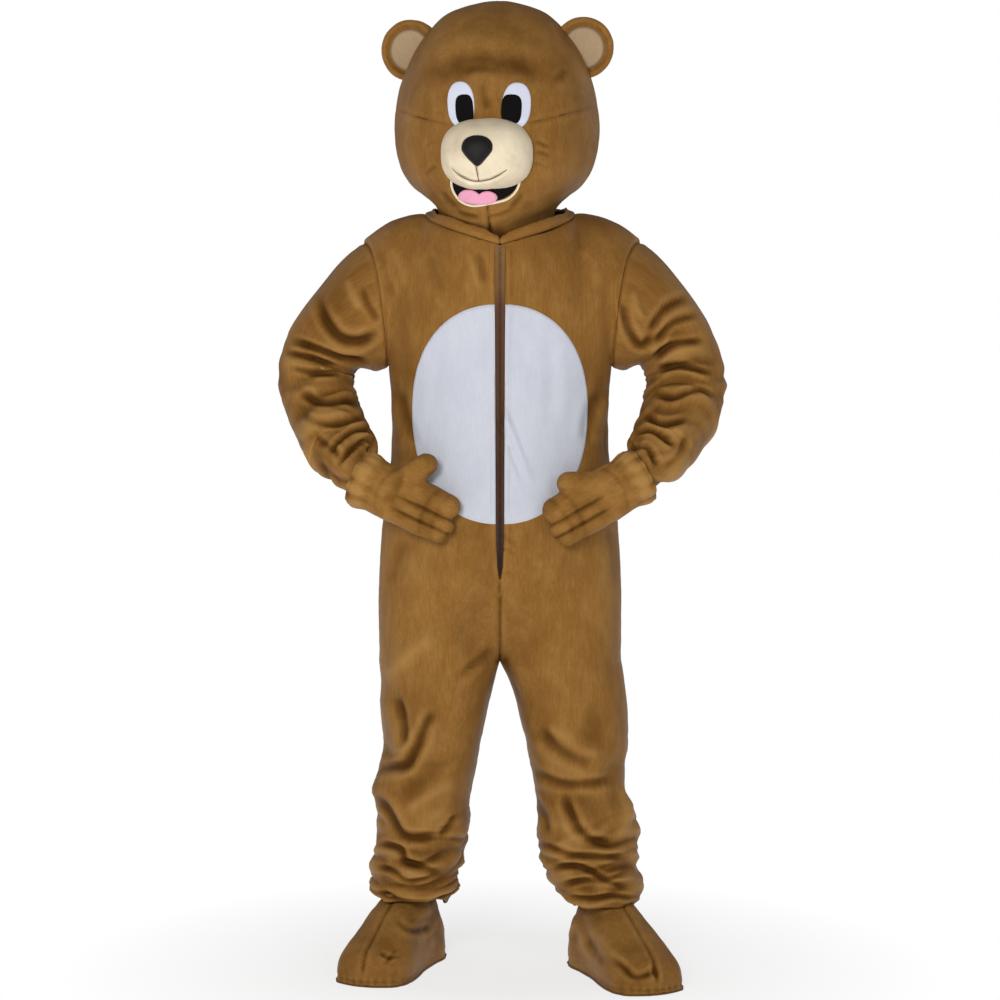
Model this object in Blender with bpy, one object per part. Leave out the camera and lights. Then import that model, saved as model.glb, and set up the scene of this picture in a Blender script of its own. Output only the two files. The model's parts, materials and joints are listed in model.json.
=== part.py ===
"""A bear mascot costume in its worn pose, hollow: padded head, one-piece suit, gloves and boot covers.

Metres, +Z up, the face towards -Y, +X on the wearer's left. Heights in the tables are above the
floor; the model's origin is between the wearer's shoulders, SHOULDER_HEIGHT above the floor.
"""

import math
from collections import namedtuple

import bmesh
import bpy
import numpy as np
from mathutils import Matrix, Vector

# Driving sizes
SHOULDER_HEIGHT = 1.400
CLOTH = 0.0025
HEAD_WALL = 0.008
PATCH = 0.0018
SEAM_GAP = 0.0003
SEAM_TRIM, ARMHOLE_TRIM = 0.0002, 0.0003
CHEST_HEIGHT = 1.165
HIP_HEIGHT = 0.800
CROTCH_HEIGHT = 0.594
HEM_HEIGHT = 0.108
HEM_LIFT = 0.034
KNEE_HEIGHT = 0.350
SIDES = {"left": 1, "right": -1}

# Spaces across a front or back panel, and down each stretch of it
PANEL_SPACES = 8
YOKE_SPACES, BODY_SPACES, SEAT_SPACES, THIGH_SPACES, SHIN_SPACES = 7, 5, 5, 5, 18
SLEEVE_SPACES = 21
HEAD_SPACES = 24

# Colours
PLUSH = (0.33, 0.17, 0.045)
CREAM = (0.80, 0.68, 0.47)
BEIGE = (0.47, 0.34, 0.22)
WHITE = (0.72, 0.73, 0.80)
BLACK = (0.012, 0.012, 0.012)
PINK = (0.78, 0.36, 0.48)
ZIP_BROWN = (0.13, 0.045, 0.015)
SOLE_BROWN = (0.10, 0.06, 0.03)

# Half of the trunk at each height: how far it reaches sideways, forwards and backwards
Trunk = namedtuple("Trunk", "height half_width front back")
TRUNK = (
    Trunk(1.165, 0.214, -0.150, 0.140),
    Trunk(1.100, 0.209, -0.154, 0.138),
    Trunk(1.040, 0.208, -0.158, 0.135),
    Trunk(0.980, 0.212, -0.161, 0.135),
    Trunk(0.920, 0.219, -0.163, 0.141),
    Trunk(0.860, 0.226, -0.164, 0.150),
    Trunk(0.800, 0.230, -0.163, 0.156),
    Trunk(0.700, 0.234, -0.158, 0.158),
    Trunk(0.594, 0.234, -0.150, 0.152),
)
TRUNK_ROUNDNESS, LEG_ROUNDNESS = 2.4, 2.2

# Neckline and shoulder corners of half the yoke: sideways, forwards, height
Corner = namedtuple("Corner", "x y height")
NECK = {
    "front": Corner(0.000, -0.151, 1.385),
    "side": Corner(0.142, 0.004, 1.455),
    "back": Corner(0.000, 0.142, 1.458),
}
SHOULDER = {"left": Corner(0.272, 0.012, 1.402), "right": Corner(0.264, 0.012, 1.400)}
NECK_SHARE, SHOULDER_CURVE = 0.50, 0.019
ARMHOLE_SWELL = 0.088

# Each leg at each height: inner and outer seam, front and back
Leg = namedtuple("Leg", "height inner outer front back")
LEGS = {
    "left": (
        Leg(0.594, 0.000, 0.234, -0.138, 0.140),
        Leg(0.560, 0.016, 0.239, -0.136, 0.136),
        Leg(0.500, 0.036, 0.246, -0.132, 0.126),
        Leg(0.440, 0.050, 0.248, -0.128, 0.115),
        Leg(0.383, 0.062, 0.243, -0.124, 0.103),
        Leg(0.345, 0.069, 0.242, -0.122, 0.096),
        Leg(0.300, 0.074, 0.260, -0.126, 0.088),
        Leg(0.250, 0.073, 0.268, -0.130, 0.080),
        Leg(0.207, 0.081, 0.264, -0.132, 0.070),
        Leg(0.165, 0.102, 0.270, -0.136, 0.060),
        Leg(0.130, 0.117, 0.273, -0.138, 0.052),
        Leg(0.108, 0.128, 0.270, -0.134, 0.048),
    ),
    "right": (
        Leg(0.594, 0.000, 0.233, -0.138, 0.140),
        Leg(0.560, 0.010, 0.230, -0.136, 0.138),
        Leg(0.500, 0.026, 0.232, -0.130, 0.130),
        Leg(0.440, 0.036, 0.226, -0.120, 0.124),
        Leg(0.385, 0.047, 0.236, -0.114, 0.118),
        Leg(0.340, 0.058, 0.246, -0.108, 0.112),
        Leg(0.280, 0.060, 0.236, -0.104, 0.112),
        Leg(0.235, 0.067, 0.240, -0.100, 0.112),
        Leg(0.190, 0.079, 0.247, -0.096, 0.108),
        Leg(0.150, 0.085, 0.249, -0.090, 0.104),
        Leg(0.125, 0.086, 0.248, -0.086, 0.100),
        Leg(0.108, 0.088, 0.244, -0.082, 0.096),
    ),
}

# The middle line of each sleeve and its half thickness across the bend and through it
Arm = namedtuple("Arm", "along x y height across through")
ARMS = {
    "left": (
        Arm(0.000, 0.246, 0.010, 1.280, 0.112, 0.092),
        Arm(0.055, 0.290, 0.018, 1.254, 0.092, 0.086),
        Arm(0.115, 0.335, 0.026, 1.210, 0.078, 0.080),
        Arm(0.180, 0.360, 0.024, 1.150, 0.075, 0.076),
        Arm(0.245, 0.353, -0.002, 1.090, 0.076, 0.072),
        Arm(0.305, 0.328, -0.050, 1.040, 0.068, 0.066),
        Arm(0.350, 0.303, -0.092, 1.004, 0.062, 0.058),
        Arm(0.372, 0.297, -0.112, 0.990, 0.052, 0.048),
        Arm(0.394, 0.283, -0.132, 0.975, 0.040, 0.037),
        Arm(0.412, 0.268, -0.149, 0.961, 0.035, 0.032),
        Arm(0.440, 0.244, -0.161, 0.947, 0.033, 0.030),
    ),
    "right": (
        Arm(0.000, 0.240, 0.010, 1.278, 0.112, 0.092),
        Arm(0.055, 0.287, 0.018, 1.250, 0.092, 0.086),
        Arm(0.115, 0.335, 0.026, 1.204, 0.078, 0.080),
        Arm(0.180, 0.360, 0.024, 1.145, 0.073, 0.074),
        Arm(0.245, 0.344, -0.002, 1.085, 0.069, 0.070),
        Arm(0.305, 0.319, -0.050, 1.035, 0.067, 0.065),
        Arm(0.350, 0.297, -0.092, 1.000, 0.062, 0.058),
        Arm(0.372, 0.295, -0.112, 0.986, 0.052, 0.048),
        Arm(0.394, 0.283, -0.132, 0.970, 0.041, 0.038),
        Arm(0.412, 0.268, -0.149, 0.955, 0.035, 0.032),
        Arm(0.440, 0.243, -0.161, 0.943, 0.033, 0.030),
    ),
}

# Largest folds. at: height on the suit, distance down a sleeve. around: 0 to 1 round the piece,
# from the inner or front middle line over the front. tilt: degrees from the ring round the limb.
Fold = namedtuple("Fold", "at around tilt length width depth")
SUIT_FOLDS = {
    "left": (
        Fold(0.475, 0.30, 55, 0.16, 0.026, -0.009),
        Fold(0.395, 0.36, 30, 0.13, 0.020, -0.011),
        Fold(0.350, 0.22, -32, 0.16, 0.020, -0.011),
        Fold(0.315, 0.42, 10, 0.13, 0.016, 0.009),
        Fold(0.285, 0.20, -20, 0.13, 0.015, 0.008),
        Fold(0.262, 0.33, 8, 0.22, 0.012, -0.012),
        Fold(0.236, 0.22, -6, 0.24, 0.011, 0.008),
        Fold(0.212, 0.30, 5, 0.26, 0.010, -0.011),
        Fold(0.188, 0.36, -4, 0.24, 0.010, 0.008),
        Fold(0.166, 0.24, 6, 0.25, 0.010, -0.010),
        Fold(0.146, 0.34, -7, 0.20, 0.010, 0.006),
        Fold(0.300, 0.72, 14, 0.20, 0.018, -0.010),
        Fold(0.262, 0.80, -10, 0.20, 0.014, 0.009),
        Fold(0.228, 0.70, 8, 0.24, 0.012, -0.010),
        Fold(0.195, 0.78, -6, 0.22, 0.011, 0.008),
        Fold(0.160, 0.70, 5, 0.22, 0.011, -0.009),
        Fold(1.020, 0.44, 74, 0.16, 0.020, -0.009),
        Fold(0.960, 0.62, 20, 0.16, 0.022, -0.007),
    ),
    "right": (
        Fold(0.500, 0.34, 48, 0.16, 0.026, -0.010),
        Fold(0.420, 0.42, 20, 0.12, 0.019, -0.010),
        Fold(0.372, 0.26, -34, 0.18, 0.021, -0.012),
        Fold(0.345, 0.45, 10, 0.12, 0.016, 0.009),
        Fold(0.305, 0.22, -30, 0.18, 0.017, 0.009),
        Fold(0.272, 0.36, 24, 0.20, 0.013, -0.012),
        Fold(0.244, 0.42, 5, 0.18, 0.012, 0.008),
        Fold(0.220, 0.24, -12, 0.24, 0.010, -0.011),
        Fold(0.194, 0.34, 10, 0.22, 0.010, 0.008),
        Fold(0.168, 0.22, -8, 0.24, 0.010, -0.010),
        Fold(0.146, 0.36, 6, 0.20, 0.010, 0.006),
        Fold(0.315, 0.74, -14, 0.20, 0.018, -0.010),
        Fold(0.276, 0.66, 10, 0.20, 0.014, 0.009),
        Fold(0.238, 0.78, -8, 0.24, 0.012, -0.010),
        Fold(0.202, 0.70, 6, 0.22, 0.011, 0.008),
        Fold(0.165, 0.78, -5, 0.22, 0.011, -0.009),
        Fold(1.010, 0.45, 80, 0.14, 0.018, -0.007),
        Fold(0.940, 0.64, -18, 0.16, 0.022, -0.007),
    ),
}
SLEEVE_FOLDS = {
    "left": (
        Fold(0.105, 0.26, 38, 0.14, 0.018, -0.009),
        Fold(0.140, 0.24, 18, 0.14, 0.014, 0.008),
        Fold(0.172, 0.25, 6, 0.18, 0.013, -0.010),
        Fold(0.207, 0.22, -4, 0.16, 0.014, 0.007),
        Fold(0.243, 0.20, -14, 0.17, 0.014, -0.009),
        Fold(0.280, 0.28, -24, 0.16, 0.015, 0.007),
        Fold(0.315, 0.22, -24, 0.17, 0.013, -0.009),
        Fold(0.348, 0.34, -14, 0.14, 0.012, 0.006),
        Fold(0.150, 0.76, 10, 0.16, 0.017, -0.009),
        Fold(0.200, 0.70, -8, 0.16, 0.016, 0.007),
        Fold(0.250, 0.74, -12, 0.16, 0.016, -0.008),
        Fold(0.325, 0.78, 10, 0.14, 0.014, -0.007),
    ),
    "right": (
        Fold(0.100, 0.20, 20, 0.12, 0.018, 0.007),
        Fold(0.142, 0.26, -16, 0.18, 0.014, -0.012),
        Fold(0.176, 0.32, -6, 0.16, 0.013, 0.008),
        Fold(0.205, 0.24, 8, 0.16, 0.013, -0.009),
        Fold(0.240, 0.30, 12, 0.16, 0.014, 0.006),
        Fold(0.275, 0.26, 16, 0.17, 0.014, -0.010),
        Fold(0.312, 0.34, 14, 0.15, 0.013, 0.007),
        Fold(0.345, 0.22, 20, 0.15, 0.012, -0.008),
        Fold(0.150, 0.74, -10, 0.16, 0.017, -0.009),
        Fold(0.200, 0.80, 8, 0.16, 0.016, 0.007),
        Fold(0.250, 0.76, 12, 0.16, 0.016, -0.008),
        Fold(0.325, 0.72, -10, 0.14, 0.014, -0.007),
    ),
}

# Collar: how far it stands up from the neckline and leans in, round from the front to the back
Stand = namedtuple("Stand", "share rise lean")
COLLAR = (
    Stand(0.00, 0.018, 0.000),
    Stand(0.25, 0.021, 0.000),
    Stand(0.50, 0.017, 0.003),
    Stand(1.00, 0.016, 0.006),
)
COLLAR_WALL, COLLAR_OPENING = 0.0050, 0.0010

# Zip strip and belly oval, seen from the front
Strip = namedtuple("Strip", "height half_width")
ZIP = (
    Strip(1.3755, 0.0100),
    Strip(1.090, 0.0085),
    Strip(0.830, 0.0075),
    Strip(0.785, 0.0060),
    Strip(0.763, 0.0015),
)
BELLY_CENTRE, BELLY_HALF_WIDTH = 1.080, 0.1655
BELLY_RISE, BELLY_DROP, BELLY_ROUNDNESS = 0.196, 0.2145, 2.25
FRONT_SKIN_FOOT = 0.700

# Rings of the padded head. A ring may dip towards the front, as the cheek seam and the chin do.
Ring = namedtuple("Ring", "side_height front_height back_height half_width front back")
HEAD = (
    Ring(1.865, 1.865, 1.865, 0.000, 0.002, 0.002),
    Ring(1.857, 1.855, 1.857, 0.052, -0.048, 0.054),
    Ring(1.837, 1.830, 1.837, 0.096, -0.090, 0.098),
    Ring(1.806, 1.790, 1.805, 0.130, -0.128, 0.136),
    Ring(1.770, 1.743, 1.765, 0.155, -0.158, 0.165),
    Ring(1.732, 1.693, 1.720, 0.174, -0.181, 0.187),
    Ring(1.694, 1.645, 1.670, 0.187, -0.194, 0.200),
    Ring(1.655, 1.600, 1.622, 0.194, -0.200, 0.205),
    Ring(1.615, 1.565, 1.583, 0.197, -0.203, 0.201),
    Ring(1.575, 1.530, 1.552, 0.193, -0.202, 0.190),
    Ring(1.540, 1.495, 1.528, 0.182, -0.196, 0.174),
    Ring(1.510, 1.462, 1.510, 0.162, -0.183, 0.156),
    Ring(1.492, 1.437, 1.498, 0.1386, -0.1606, 0.137),
    Ring(1.468, 1.409, 1.476, 0.1146, -0.1286, 0.115),
    Ring(1.435, 1.374, 1.447, 0.108, -0.113, 0.107),
)
HEAD_CENTRE_X, HEAD_YAW = -0.006, math.radians(-5.5)
CHEEK_SEAM_RING = 7

# Things on the face, seen from the front in the head's own frame: middle and half sizes
Feature = namedtuple("Feature", "x height half_width half_height roundness")
EYE_WHITE = Feature(0.0515, 1.636, 0.0265, 0.0470, 2.2)
PUPIL = Feature(0.0430, 1.634, 0.0172, 0.0285, 2.8)
MUZZLE = Feature(0.000, 1.550, 0.0860, 0.0665, 2.5)
NOSE = Feature(-0.010, 1.5485, 0.0280, 0.0280, 2.0)
MOUTH = Feature(0.000, 1.500, 0.0640, 0.0470, 2.1)
TONGUE = Feature(-0.010, 1.472, 0.0330, 0.0150, 2.0)
LIP_WIDTH, LIP_THICKNESS = 0.0040, 0.0040
MUZZLE_BASE, MUZZLE_DEPTH = -0.182, 0.088
NOSE_DEPTH, NOSE_TAPER = 0.018, 0.55
FACE_PRISM = (-0.5, -0.05)

# Ears, in the head's own frame
EAR = Corner(0.166, 0.000, 1.772)
EAR_RADIUS, EAR_TURN, EAR_LEAN = 0.0600, math.radians(12), math.radians(24)
EAR_INNER_SHARE, EAR_SPACES = 0.66, 18
Profile = namedtuple("Profile", "radius_share depth")
EAR_PROFILE = (
    Profile(0.00, -0.0020),
    Profile(0.40, -0.0030),
    Profile(0.66, -0.0070),
    Profile(0.82, -0.0130),
    Profile(0.94, -0.0110),
    Profile(1.00, -0.0020),
    Profile(0.95, 0.0090),
    Profile(0.75, 0.0155),
    Profile(0.40, 0.0180),
    Profile(0.00, 0.0185),
)

# Gloves: sections from the cuff to the finger tips. groove: how deep the finger channels cut.
Palm = namedtuple("Palm", "along half_width half_depth groove")
PALM = (
    Palm(-0.0294, 0.0500, 0.0450, 0.00),
    Palm(0.000, 0.0505, 0.0430, 0.00),
    Palm(0.048, 0.0528, 0.0345, 0.08),
    Palm(0.092, 0.0495, 0.0295, 0.36),
    Palm(0.128, 0.0468, 0.0272, 0.46),
    Palm(0.156, 0.0430, 0.0230, 0.46),
    Palm(0.170, 0.0385, 0.0165, 0.40),
    Palm(0.176, 0.0330, 0.0080, 0.25),
)
FINGERS, PALM_SPACES, PALM_CURL, TIP_NOTCH = 3, 16, 0.9, 0.020
Hand = namedtuple("Hand", "x y height axis across thumb_axis thumb_length")
HANDS = {
    "left": Hand(
        0.242, -0.162, 0.946, axis=(-0.84, -0.30, -0.47), across=(-0.50, 0.00, 0.86),
        thumb_axis=(-0.95, -0.30, 0.10), thumb_length=0.060,
    ),
    "right": Hand(
        -0.241, -0.162, 0.942, axis=(0.87, -0.30, -0.40), across=(0.42, 0.00, 0.90),
        thumb_axis=(0.78, -0.26, 0.57), thumb_length=0.062,
    ),
}
THUMB_ALONG, THUMB_ACROSS, THUMB_RADIUS = 0.050, 0.026, 0.0225

# Boot covers: half sections from heel to toe, in the boot's own frame with the toe towards -Y
Foot = namedtuple("Foot", "along half_width top")
FOOT = (
    Foot(0.096, 0.0220, 0.0603),
    Foot(0.088, 0.0400, 0.0888),
    Foot(0.060, 0.0580, 0.1328),
    Foot(0.000, 0.0600, 0.1569),
    Foot(-0.060, 0.0620, 0.1369),
    Foot(-0.108, 0.0690, 0.1126),
    Foot(-0.153, 0.0715, 0.0865),
    Foot(-0.185, 0.0650, 0.0690),
    Foot(-0.206, 0.0460, 0.0520),
    Foot(-0.214, 0.0230, 0.0360),
)
Boot = namedtuple("Boot", "x y turn")
BOOTS = {"left": Boot(0.2104, -0.050, math.radians(22)), "right": Boot(-0.1837, 0.0140, math.radians(-20))}
SOLE, SOLE_MARGIN, BOOT_WALL = 0.004, 0.002, 0.003
ANKLE_HALF_WIDTH, ANKLE_HALF_LENGTH, ANKLE_BACK = 0.044, 0.052, 0.018
BOOT_ROUNDNESS, BOOT_ARC_SPACES = 2.5, 7


def clear_scene():
    """Remove whatever the file holds."""
    for thing in list(bpy.data.objects):
        bpy.data.objects.remove(thing, do_unlink=True)


def make_collections():
    """One collection for the costume and one for the cutters."""
    parts = bpy.data.collections.new("bear_mascot_costume")
    cutters = bpy.data.collections.new("cutters")
    bpy.context.scene.collection.children.link(parts)
    bpy.context.scene.collection.children.link(cutters)
    return parts, cutters


def finish(name, colour, roughness):
    """A plain Principled material, made once for each name."""
    material = bpy.data.materials.get(name)
    if material is None:
        material = bpy.data.materials.new(name)
        material.use_nodes = True
        shader = material.node_tree.nodes["Principled BSDF"]
        shader.inputs["Base Color"].default_value = (*colour, 1.0)
        shader.inputs["Roughness"].default_value = roughness
        shader.inputs["Metallic"].default_value = 0.0
    return material


def add_part(name, mesh, material, parent, collection):
    """Put a finished mesh in the scene as one named sub-part."""
    mesh.materials.clear()
    mesh.materials.append(material)
    mesh.shade_smooth()
    mesh.set_sharp_from_angle(angle=math.radians(40))
    part = bpy.data.objects.new(name, mesh)
    part.parent = parent
    collection.objects.link(part)
    return part


def add_parent(name, location, turn=0.0):
    """An empty that carries the pieces drawn in its own frame."""
    empty = bpy.data.objects.new(name, None)
    empty.location = location
    empty.rotation_euler = (0.0, 0.0, turn)
    bpy.context.scene.collection.objects.link(empty)
    return empty


def closed_mesh(verts, loops):
    """A mesh of a closed body with its faces pointing out."""
    mesh = bpy.data.meshes.new("piece")
    mesh.from_pydata([tuple(vert) for vert in verts], [], loops)
    shape = bmesh.new()
    shape.from_mesh(mesh)
    bmesh.ops.recalc_face_normals(shape, faces=shape.faces)
    shape.to_mesh(mesh)
    shape.free()
    mesh.update()
    return mesh


def read_table(table, positions):
    """Smooth values between a table's rows, whose first column is the position."""
    rows = np.array(table, dtype=float)
    if rows[0, 0] > rows[-1, 0]:
        rows = rows[::-1]
    keys = rows[:, 0]
    slopes = np.gradient(rows, keys, axis=0)
    places = np.clip(np.asarray(positions, dtype=float), keys[0], keys[-1])
    low = np.clip(np.searchsorted(keys, places) - 1, 0, len(keys) - 2)
    span = (keys[low + 1] - keys[low])[:, None]
    t = (places - keys[low])[:, None] / span
    ease = t * t * (3 - 2 * t)
    lead = t * (1 - t) ** 2 * span * slopes[low] - t * t * (1 - t) * span * slopes[low + 1]
    return rows[low] * (1 - ease) + rows[low + 1] * ease + lead


def signed_power(value, power):
    """A power that keeps the sign, for rounded-square curves."""
    return np.sign(value) * np.abs(value) ** power


# The suit's panels, as grids of points from the top to the hem and from the middle to the side

def trunk_rows(face, heights, across):
    """Quarter rings of the trunk, from the middle line round to the side."""
    rows = read_table(TRUNK, heights)
    reach = rows[:, 2] if face == "front" else rows[:, 3]
    angle = across * math.pi / 2
    power = 2 / TRUNK_ROUNDNESS
    x = rows[:, 1][:, None] * np.sin(angle) ** power
    y = reach[:, None] * np.clip(np.cos(angle), 0, 1) ** power
    z = np.repeat(np.asarray(heights)[:, None], len(across), axis=1)
    return np.stack([x, y, z], axis=2)


def leg_rows(side, face, heights, across):
    """Half rings of a leg, from the inside seam round to the outside seam."""
    rows = read_table(LEGS[side], heights)
    inner, outer, front, back = (rows[:, k][:, None] for k in range(1, 5))
    angle = (across - 0.5) * math.pi
    power = 2 / LEG_ROUNDNESS
    bulge = np.clip(np.cos(angle), 0, 1) ** power
    x = (inner + outer) / 2 + (outer - inner) / 2 * signed_power(np.sin(angle), power)
    half_depth = (back - front) / 2
    y = (front + back) / 2 + half_depth * bulge * (-1 if face == "front" else 1)
    z = np.repeat(np.asarray(heights)[:, None], len(across), axis=1)
    if face == "front":
        near_hem = np.clip((0.30 - z) / (0.30 - HEM_HEIGHT), 0, 1)
        z = z + HEM_LIFT * near_hem ** 2 * bulge
    return np.stack([x, y, z], axis=2)


def neck_and_shoulder(side, face, across):
    """The top edge of a front or back: half the neckline, then the shoulder seam."""
    middle, corner, tip = NECK[face], NECK["side"], SHOULDER[side]
    turn = np.clip(across / NECK_SHARE, 0, 1)
    slide = np.clip((across - NECK_SHARE) / (1 - NECK_SHARE), 0, 1)
    x = corner.x * np.sin(turn * math.pi / 2) + (tip.x - corner.x) * slide
    y = middle.y * np.cos(turn * math.pi / 2) + corner.y * turn + (tip.y - corner.y) * slide
    z = middle.height + (corner.height - middle.height) * turn + (tip.height - corner.height) * slide
    z = z + SHOULDER_CURVE * np.clip(np.sin(math.pi * slide), 0, 1) ** 0.8
    return np.stack([x, y, z], axis=1)


def yoke_rows(side, face, across):
    """From the chest up over the shoulder; the last column is the armhole."""
    chest = trunk_rows(face, [CHEST_HEIGHT], across)[0]
    top = neck_and_shoulder(side, face, across)
    rise = np.linspace(1, 0, YOKE_SPACES + 1)[:, None]
    arc = rise * math.pi / 2
    armhole = (across ** 4)[None, :]
    lift = (1 - armhole) * np.sin(arc) ** 0.85 + armhole * (1 - np.cos(math.pi * rise)) / 2
    x = chest[:, 0] + (top[:, 0] - chest[:, 0]) * rise ** (1 + 1.3 * across[None, :] ** 2)
    y = top[:, 1] + (chest[:, 1] - top[:, 1]) * np.clip(np.cos(arc), 0, 1) ** 0.85
    z = chest[:, 2] + (top[:, 2] - chest[:, 2]) * lift
    swell = ARMHOLE_SWELL * (across ** 3)[None, :] * np.clip(np.sin(math.pi * rise), 0, 1)
    y = y + swell * (-1 if face == "front" else 1)
    return np.stack([x, y, z], axis=2)


def panel_grid(side, face):
    """One front or back in one piece from shoulder to ankle."""
    across = np.linspace(0, 1, PANEL_SPACES + 1)
    yoke = yoke_rows(side, face, across)
    body_heights = np.linspace(CHEST_HEIGHT, HIP_HEIGHT, BODY_SPACES + 1)[1:]
    body = trunk_rows(face, body_heights, across)
    turn = np.linspace(0, math.pi / 2, SEAT_SPACES + 1)[1:]
    seat_heights = HIP_HEIGHT + (CROTCH_HEIGHT - HIP_HEIGHT) * np.sin(turn)
    drop = np.sin(turn)[:, None, None]
    slow = np.clip(across * 2.5, 0, 1)[None, :, None]
    merge = (1 - np.cos(turn))[:, None, None] * (1 - slow) + drop * drop * (3 - 2 * drop) * slow
    thigh_top = leg_rows(side, face, [CROTCH_HEIGHT], across) * (1, 1, 0)
    seat = trunk_rows(face, seat_heights, across)
    seat = seat * (1 - merge * (1, 1, 0)) + thigh_top * merge
    thigh_heights = np.linspace(CROTCH_HEIGHT, KNEE_HEIGHT, THIGH_SPACES + 1)[1:]
    shin_heights = np.linspace(KNEE_HEIGHT, HEM_HEIGHT, SHIN_SPACES + 1)[1:]
    leg = leg_rows(side, face, np.concatenate([thigh_heights, shin_heights]), across)
    grid = np.concatenate([yoke, body, seat, leg])
    grid[:, :, 0] *= SIDES[side]
    around = np.repeat((across / 2 if face == "front" else 1 - across / 2)[None, :], len(grid), axis=0)
    return grid, around


def girth_of(grids):
    """The distance round the rings that the grids' rows make together."""
    steps = [np.linalg.norm(np.diff(grid, axis=1), axis=2).sum(axis=1) for grid in grids]
    return np.sum(steps, axis=0)[:, None]


def fold_depth(folds, at, around, girth):
    """How far the folds move each point out of the plain form."""
    depth = np.zeros(np.broadcast(at, around).shape)
    for fold in folds:
        sideways = ((around - fold.around + 0.5) % 1 - 0.5) * girth
        tilt = math.radians(fold.tilt)
        along = sideways * math.cos(tilt) + (at - fold.at) * math.sin(tilt)
        over = -sideways * math.sin(tilt) + (at - fold.at) * math.cos(tilt)
        reach = np.clip(np.abs(along) / (fold.length / 2), 0, 1)
        depth += fold.depth * np.exp(-(over / fold.width) ** 2) * np.cos(reach * math.pi / 2) ** 2
    return depth


def sleeve_grid(side, armhole):
    """Rings from the armhole to the wrist, blended from the armhole's loop into ovals."""
    middle = len(armhole) // 2
    reach = ARMS[side][-1].along
    along = reach * np.linspace(0, 1, SLEEVE_SPACES + 1) ** 0.95
    rows = read_table(ARMS[side], along)
    sign = SIDES[side]
    centres = rows[:, 1:4] * np.array([sign, 1, 1])
    tangents = np.gradient(centres, along, axis=0)
    tangents /= np.linalg.norm(tangents, axis=1)[:, None]
    outward = armhole[middle] - armhole[0]
    rings = []
    for k, tangent in enumerate(tangents):
        outward = outward - tangent * outward.dot(tangent)
        outward = outward / np.linalg.norm(outward)
        forward = np.cross(tangent, outward) * sign
        angle = np.arange(len(armhole)) / len(armhole) * 2 * math.pi
        ring = centres[k] - rows[k, 4] * np.cos(angle)[:, None] * outward
        ring = ring + rows[k, 5] * np.sin(angle)[:, None] * forward
        blend = min(along[k] / 0.115, 1.0)
        blend = blend * blend * (3 - 2 * blend)
        carried = armhole + centres[k] - centres[0]
        rings.append(carried * (1 - blend) + ring * blend)
    around = np.arange(len(armhole)) / len(armhole)
    return np.array(rings), along[:, None], around[None, :]


# Surfaces with shared points, and the pieces cut from them

class Surface:
    """Faces on shared points, each face with the name of the piece that it belongs to."""

    def __init__(self):
        self.places = {}
        self.points = []
        self.moves = []
        self.faces = []

    def point(self, position, move):
        key = tuple(int(round(value * 1e6)) for value in position)
        if key not in self.places:
            self.places[key] = len(self.points)
            self.points.append(position)
            self.moves.append(move)
        return self.places[key]

    def add_grid(self, label, grid, moves=None, closed=False):
        """Faces between the rows of a grid, each starting at its shorter diagonal.

        closed joins the grid's last column to its first."""
        if moves is None:
            moves = np.zeros(grid.shape[:2])
        columns = grid.shape[1]
        ids = [[self.point(grid[i, j], moves[i, j]) for j in range(columns)] for i in range(len(grid))]
        for i in range(len(grid) - 1):
            for j in range(columns if closed else columns - 1):
                k = (j + 1) % columns
                corners = [ids[i][j], ids[i][k], ids[i + 1][k], ids[i + 1][j]]
                if math.dist(grid[i, j], grid[i + 1, k]) > math.dist(grid[i, k], grid[i + 1, j]):
                    corners = corners[1:] + corners[:1]
                corners = [c for n, c in enumerate(corners) if c != corners[n - 1]]
                name = label(i, j) if callable(label) else label
                self.faces.append((name, corners))

    def normals(self):
        """Outward directions at the points, shared by all the faces round them."""
        points = np.array(self.points)
        total = np.zeros_like(points)
        for _, corners in self.faces:
            ring = points[corners]
            normal = np.cross(ring[1] - ring[0], ring[2] - ring[0])
            normal = normal + np.cross(ring[-2] - ring[0], ring[-1] - ring[0])
            total[corners] += normal / np.linalg.norm(normal)
        return total / np.linalg.norm(total, axis=1)[:, None]

    def settle(self):
        """Apply the folds: each point moves out along its direction."""
        points = np.array(self.points) + self.normals() * np.array(self.moves)[:, None]
        self.points = list(points)

    def cut(self, labels, low, high, trim=SEAM_TRIM, above=0.0):
        """A closed mesh of the faces with these labels, from low to high off the surface."""
        points, normals = np.array(self.points), self.normals()
        faces = [corners for name, corners in self.faces if name in labels]
        faces = [corners for corners in faces if points[corners][:, 2].min() > above]
        edges = set()
        pull = np.zeros_like(points)
        for corners in faces:
            centre = points[corners].mean(axis=0)
            for n, corner in enumerate(corners):
                edges.add((corners[n - 1], corner))
                away = centre - points[corner]
                pull[corner] += away / np.linalg.norm(away)
        rim = [edge for edge in sorted(edges) if edge[::-1] not in edges]
        for corner in {c for edge in rim for c in edge}:
            inwards = pull[corner] - normals[corner] * pull[corner].dot(normals[corner])
            points[corner] += trim * inwards / np.linalg.norm(inwards)
        used = sorted({corner for corners in faces for corner in corners})
        place = {corner: n for n, corner in enumerate(used)}
        outer = points[used] + normals[used] * high
        inner = points[used] + normals[used] * low
        count = len(used)
        corners_of = [(c[0], c[n], c[n + 1]) for c in faces for n in range(1, len(c) - 1)]
        loops = [[place[a], place[b], place[c]] for a, b, c in corners_of]
        loops += [[place[c] + count, place[b] + count, place[a] + count] for a, b, c in corners_of]
        for a, b in rim:
            m, n = place[a], place[b]
            if a < b:
                loops += [[n, m, n + count], [m, m + count, n + count]]
            else:
                loops += [[n, m, m + count], [n, m + count, n + count]]
        return closed_mesh(np.concatenate([outer, inner]), loops)


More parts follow.
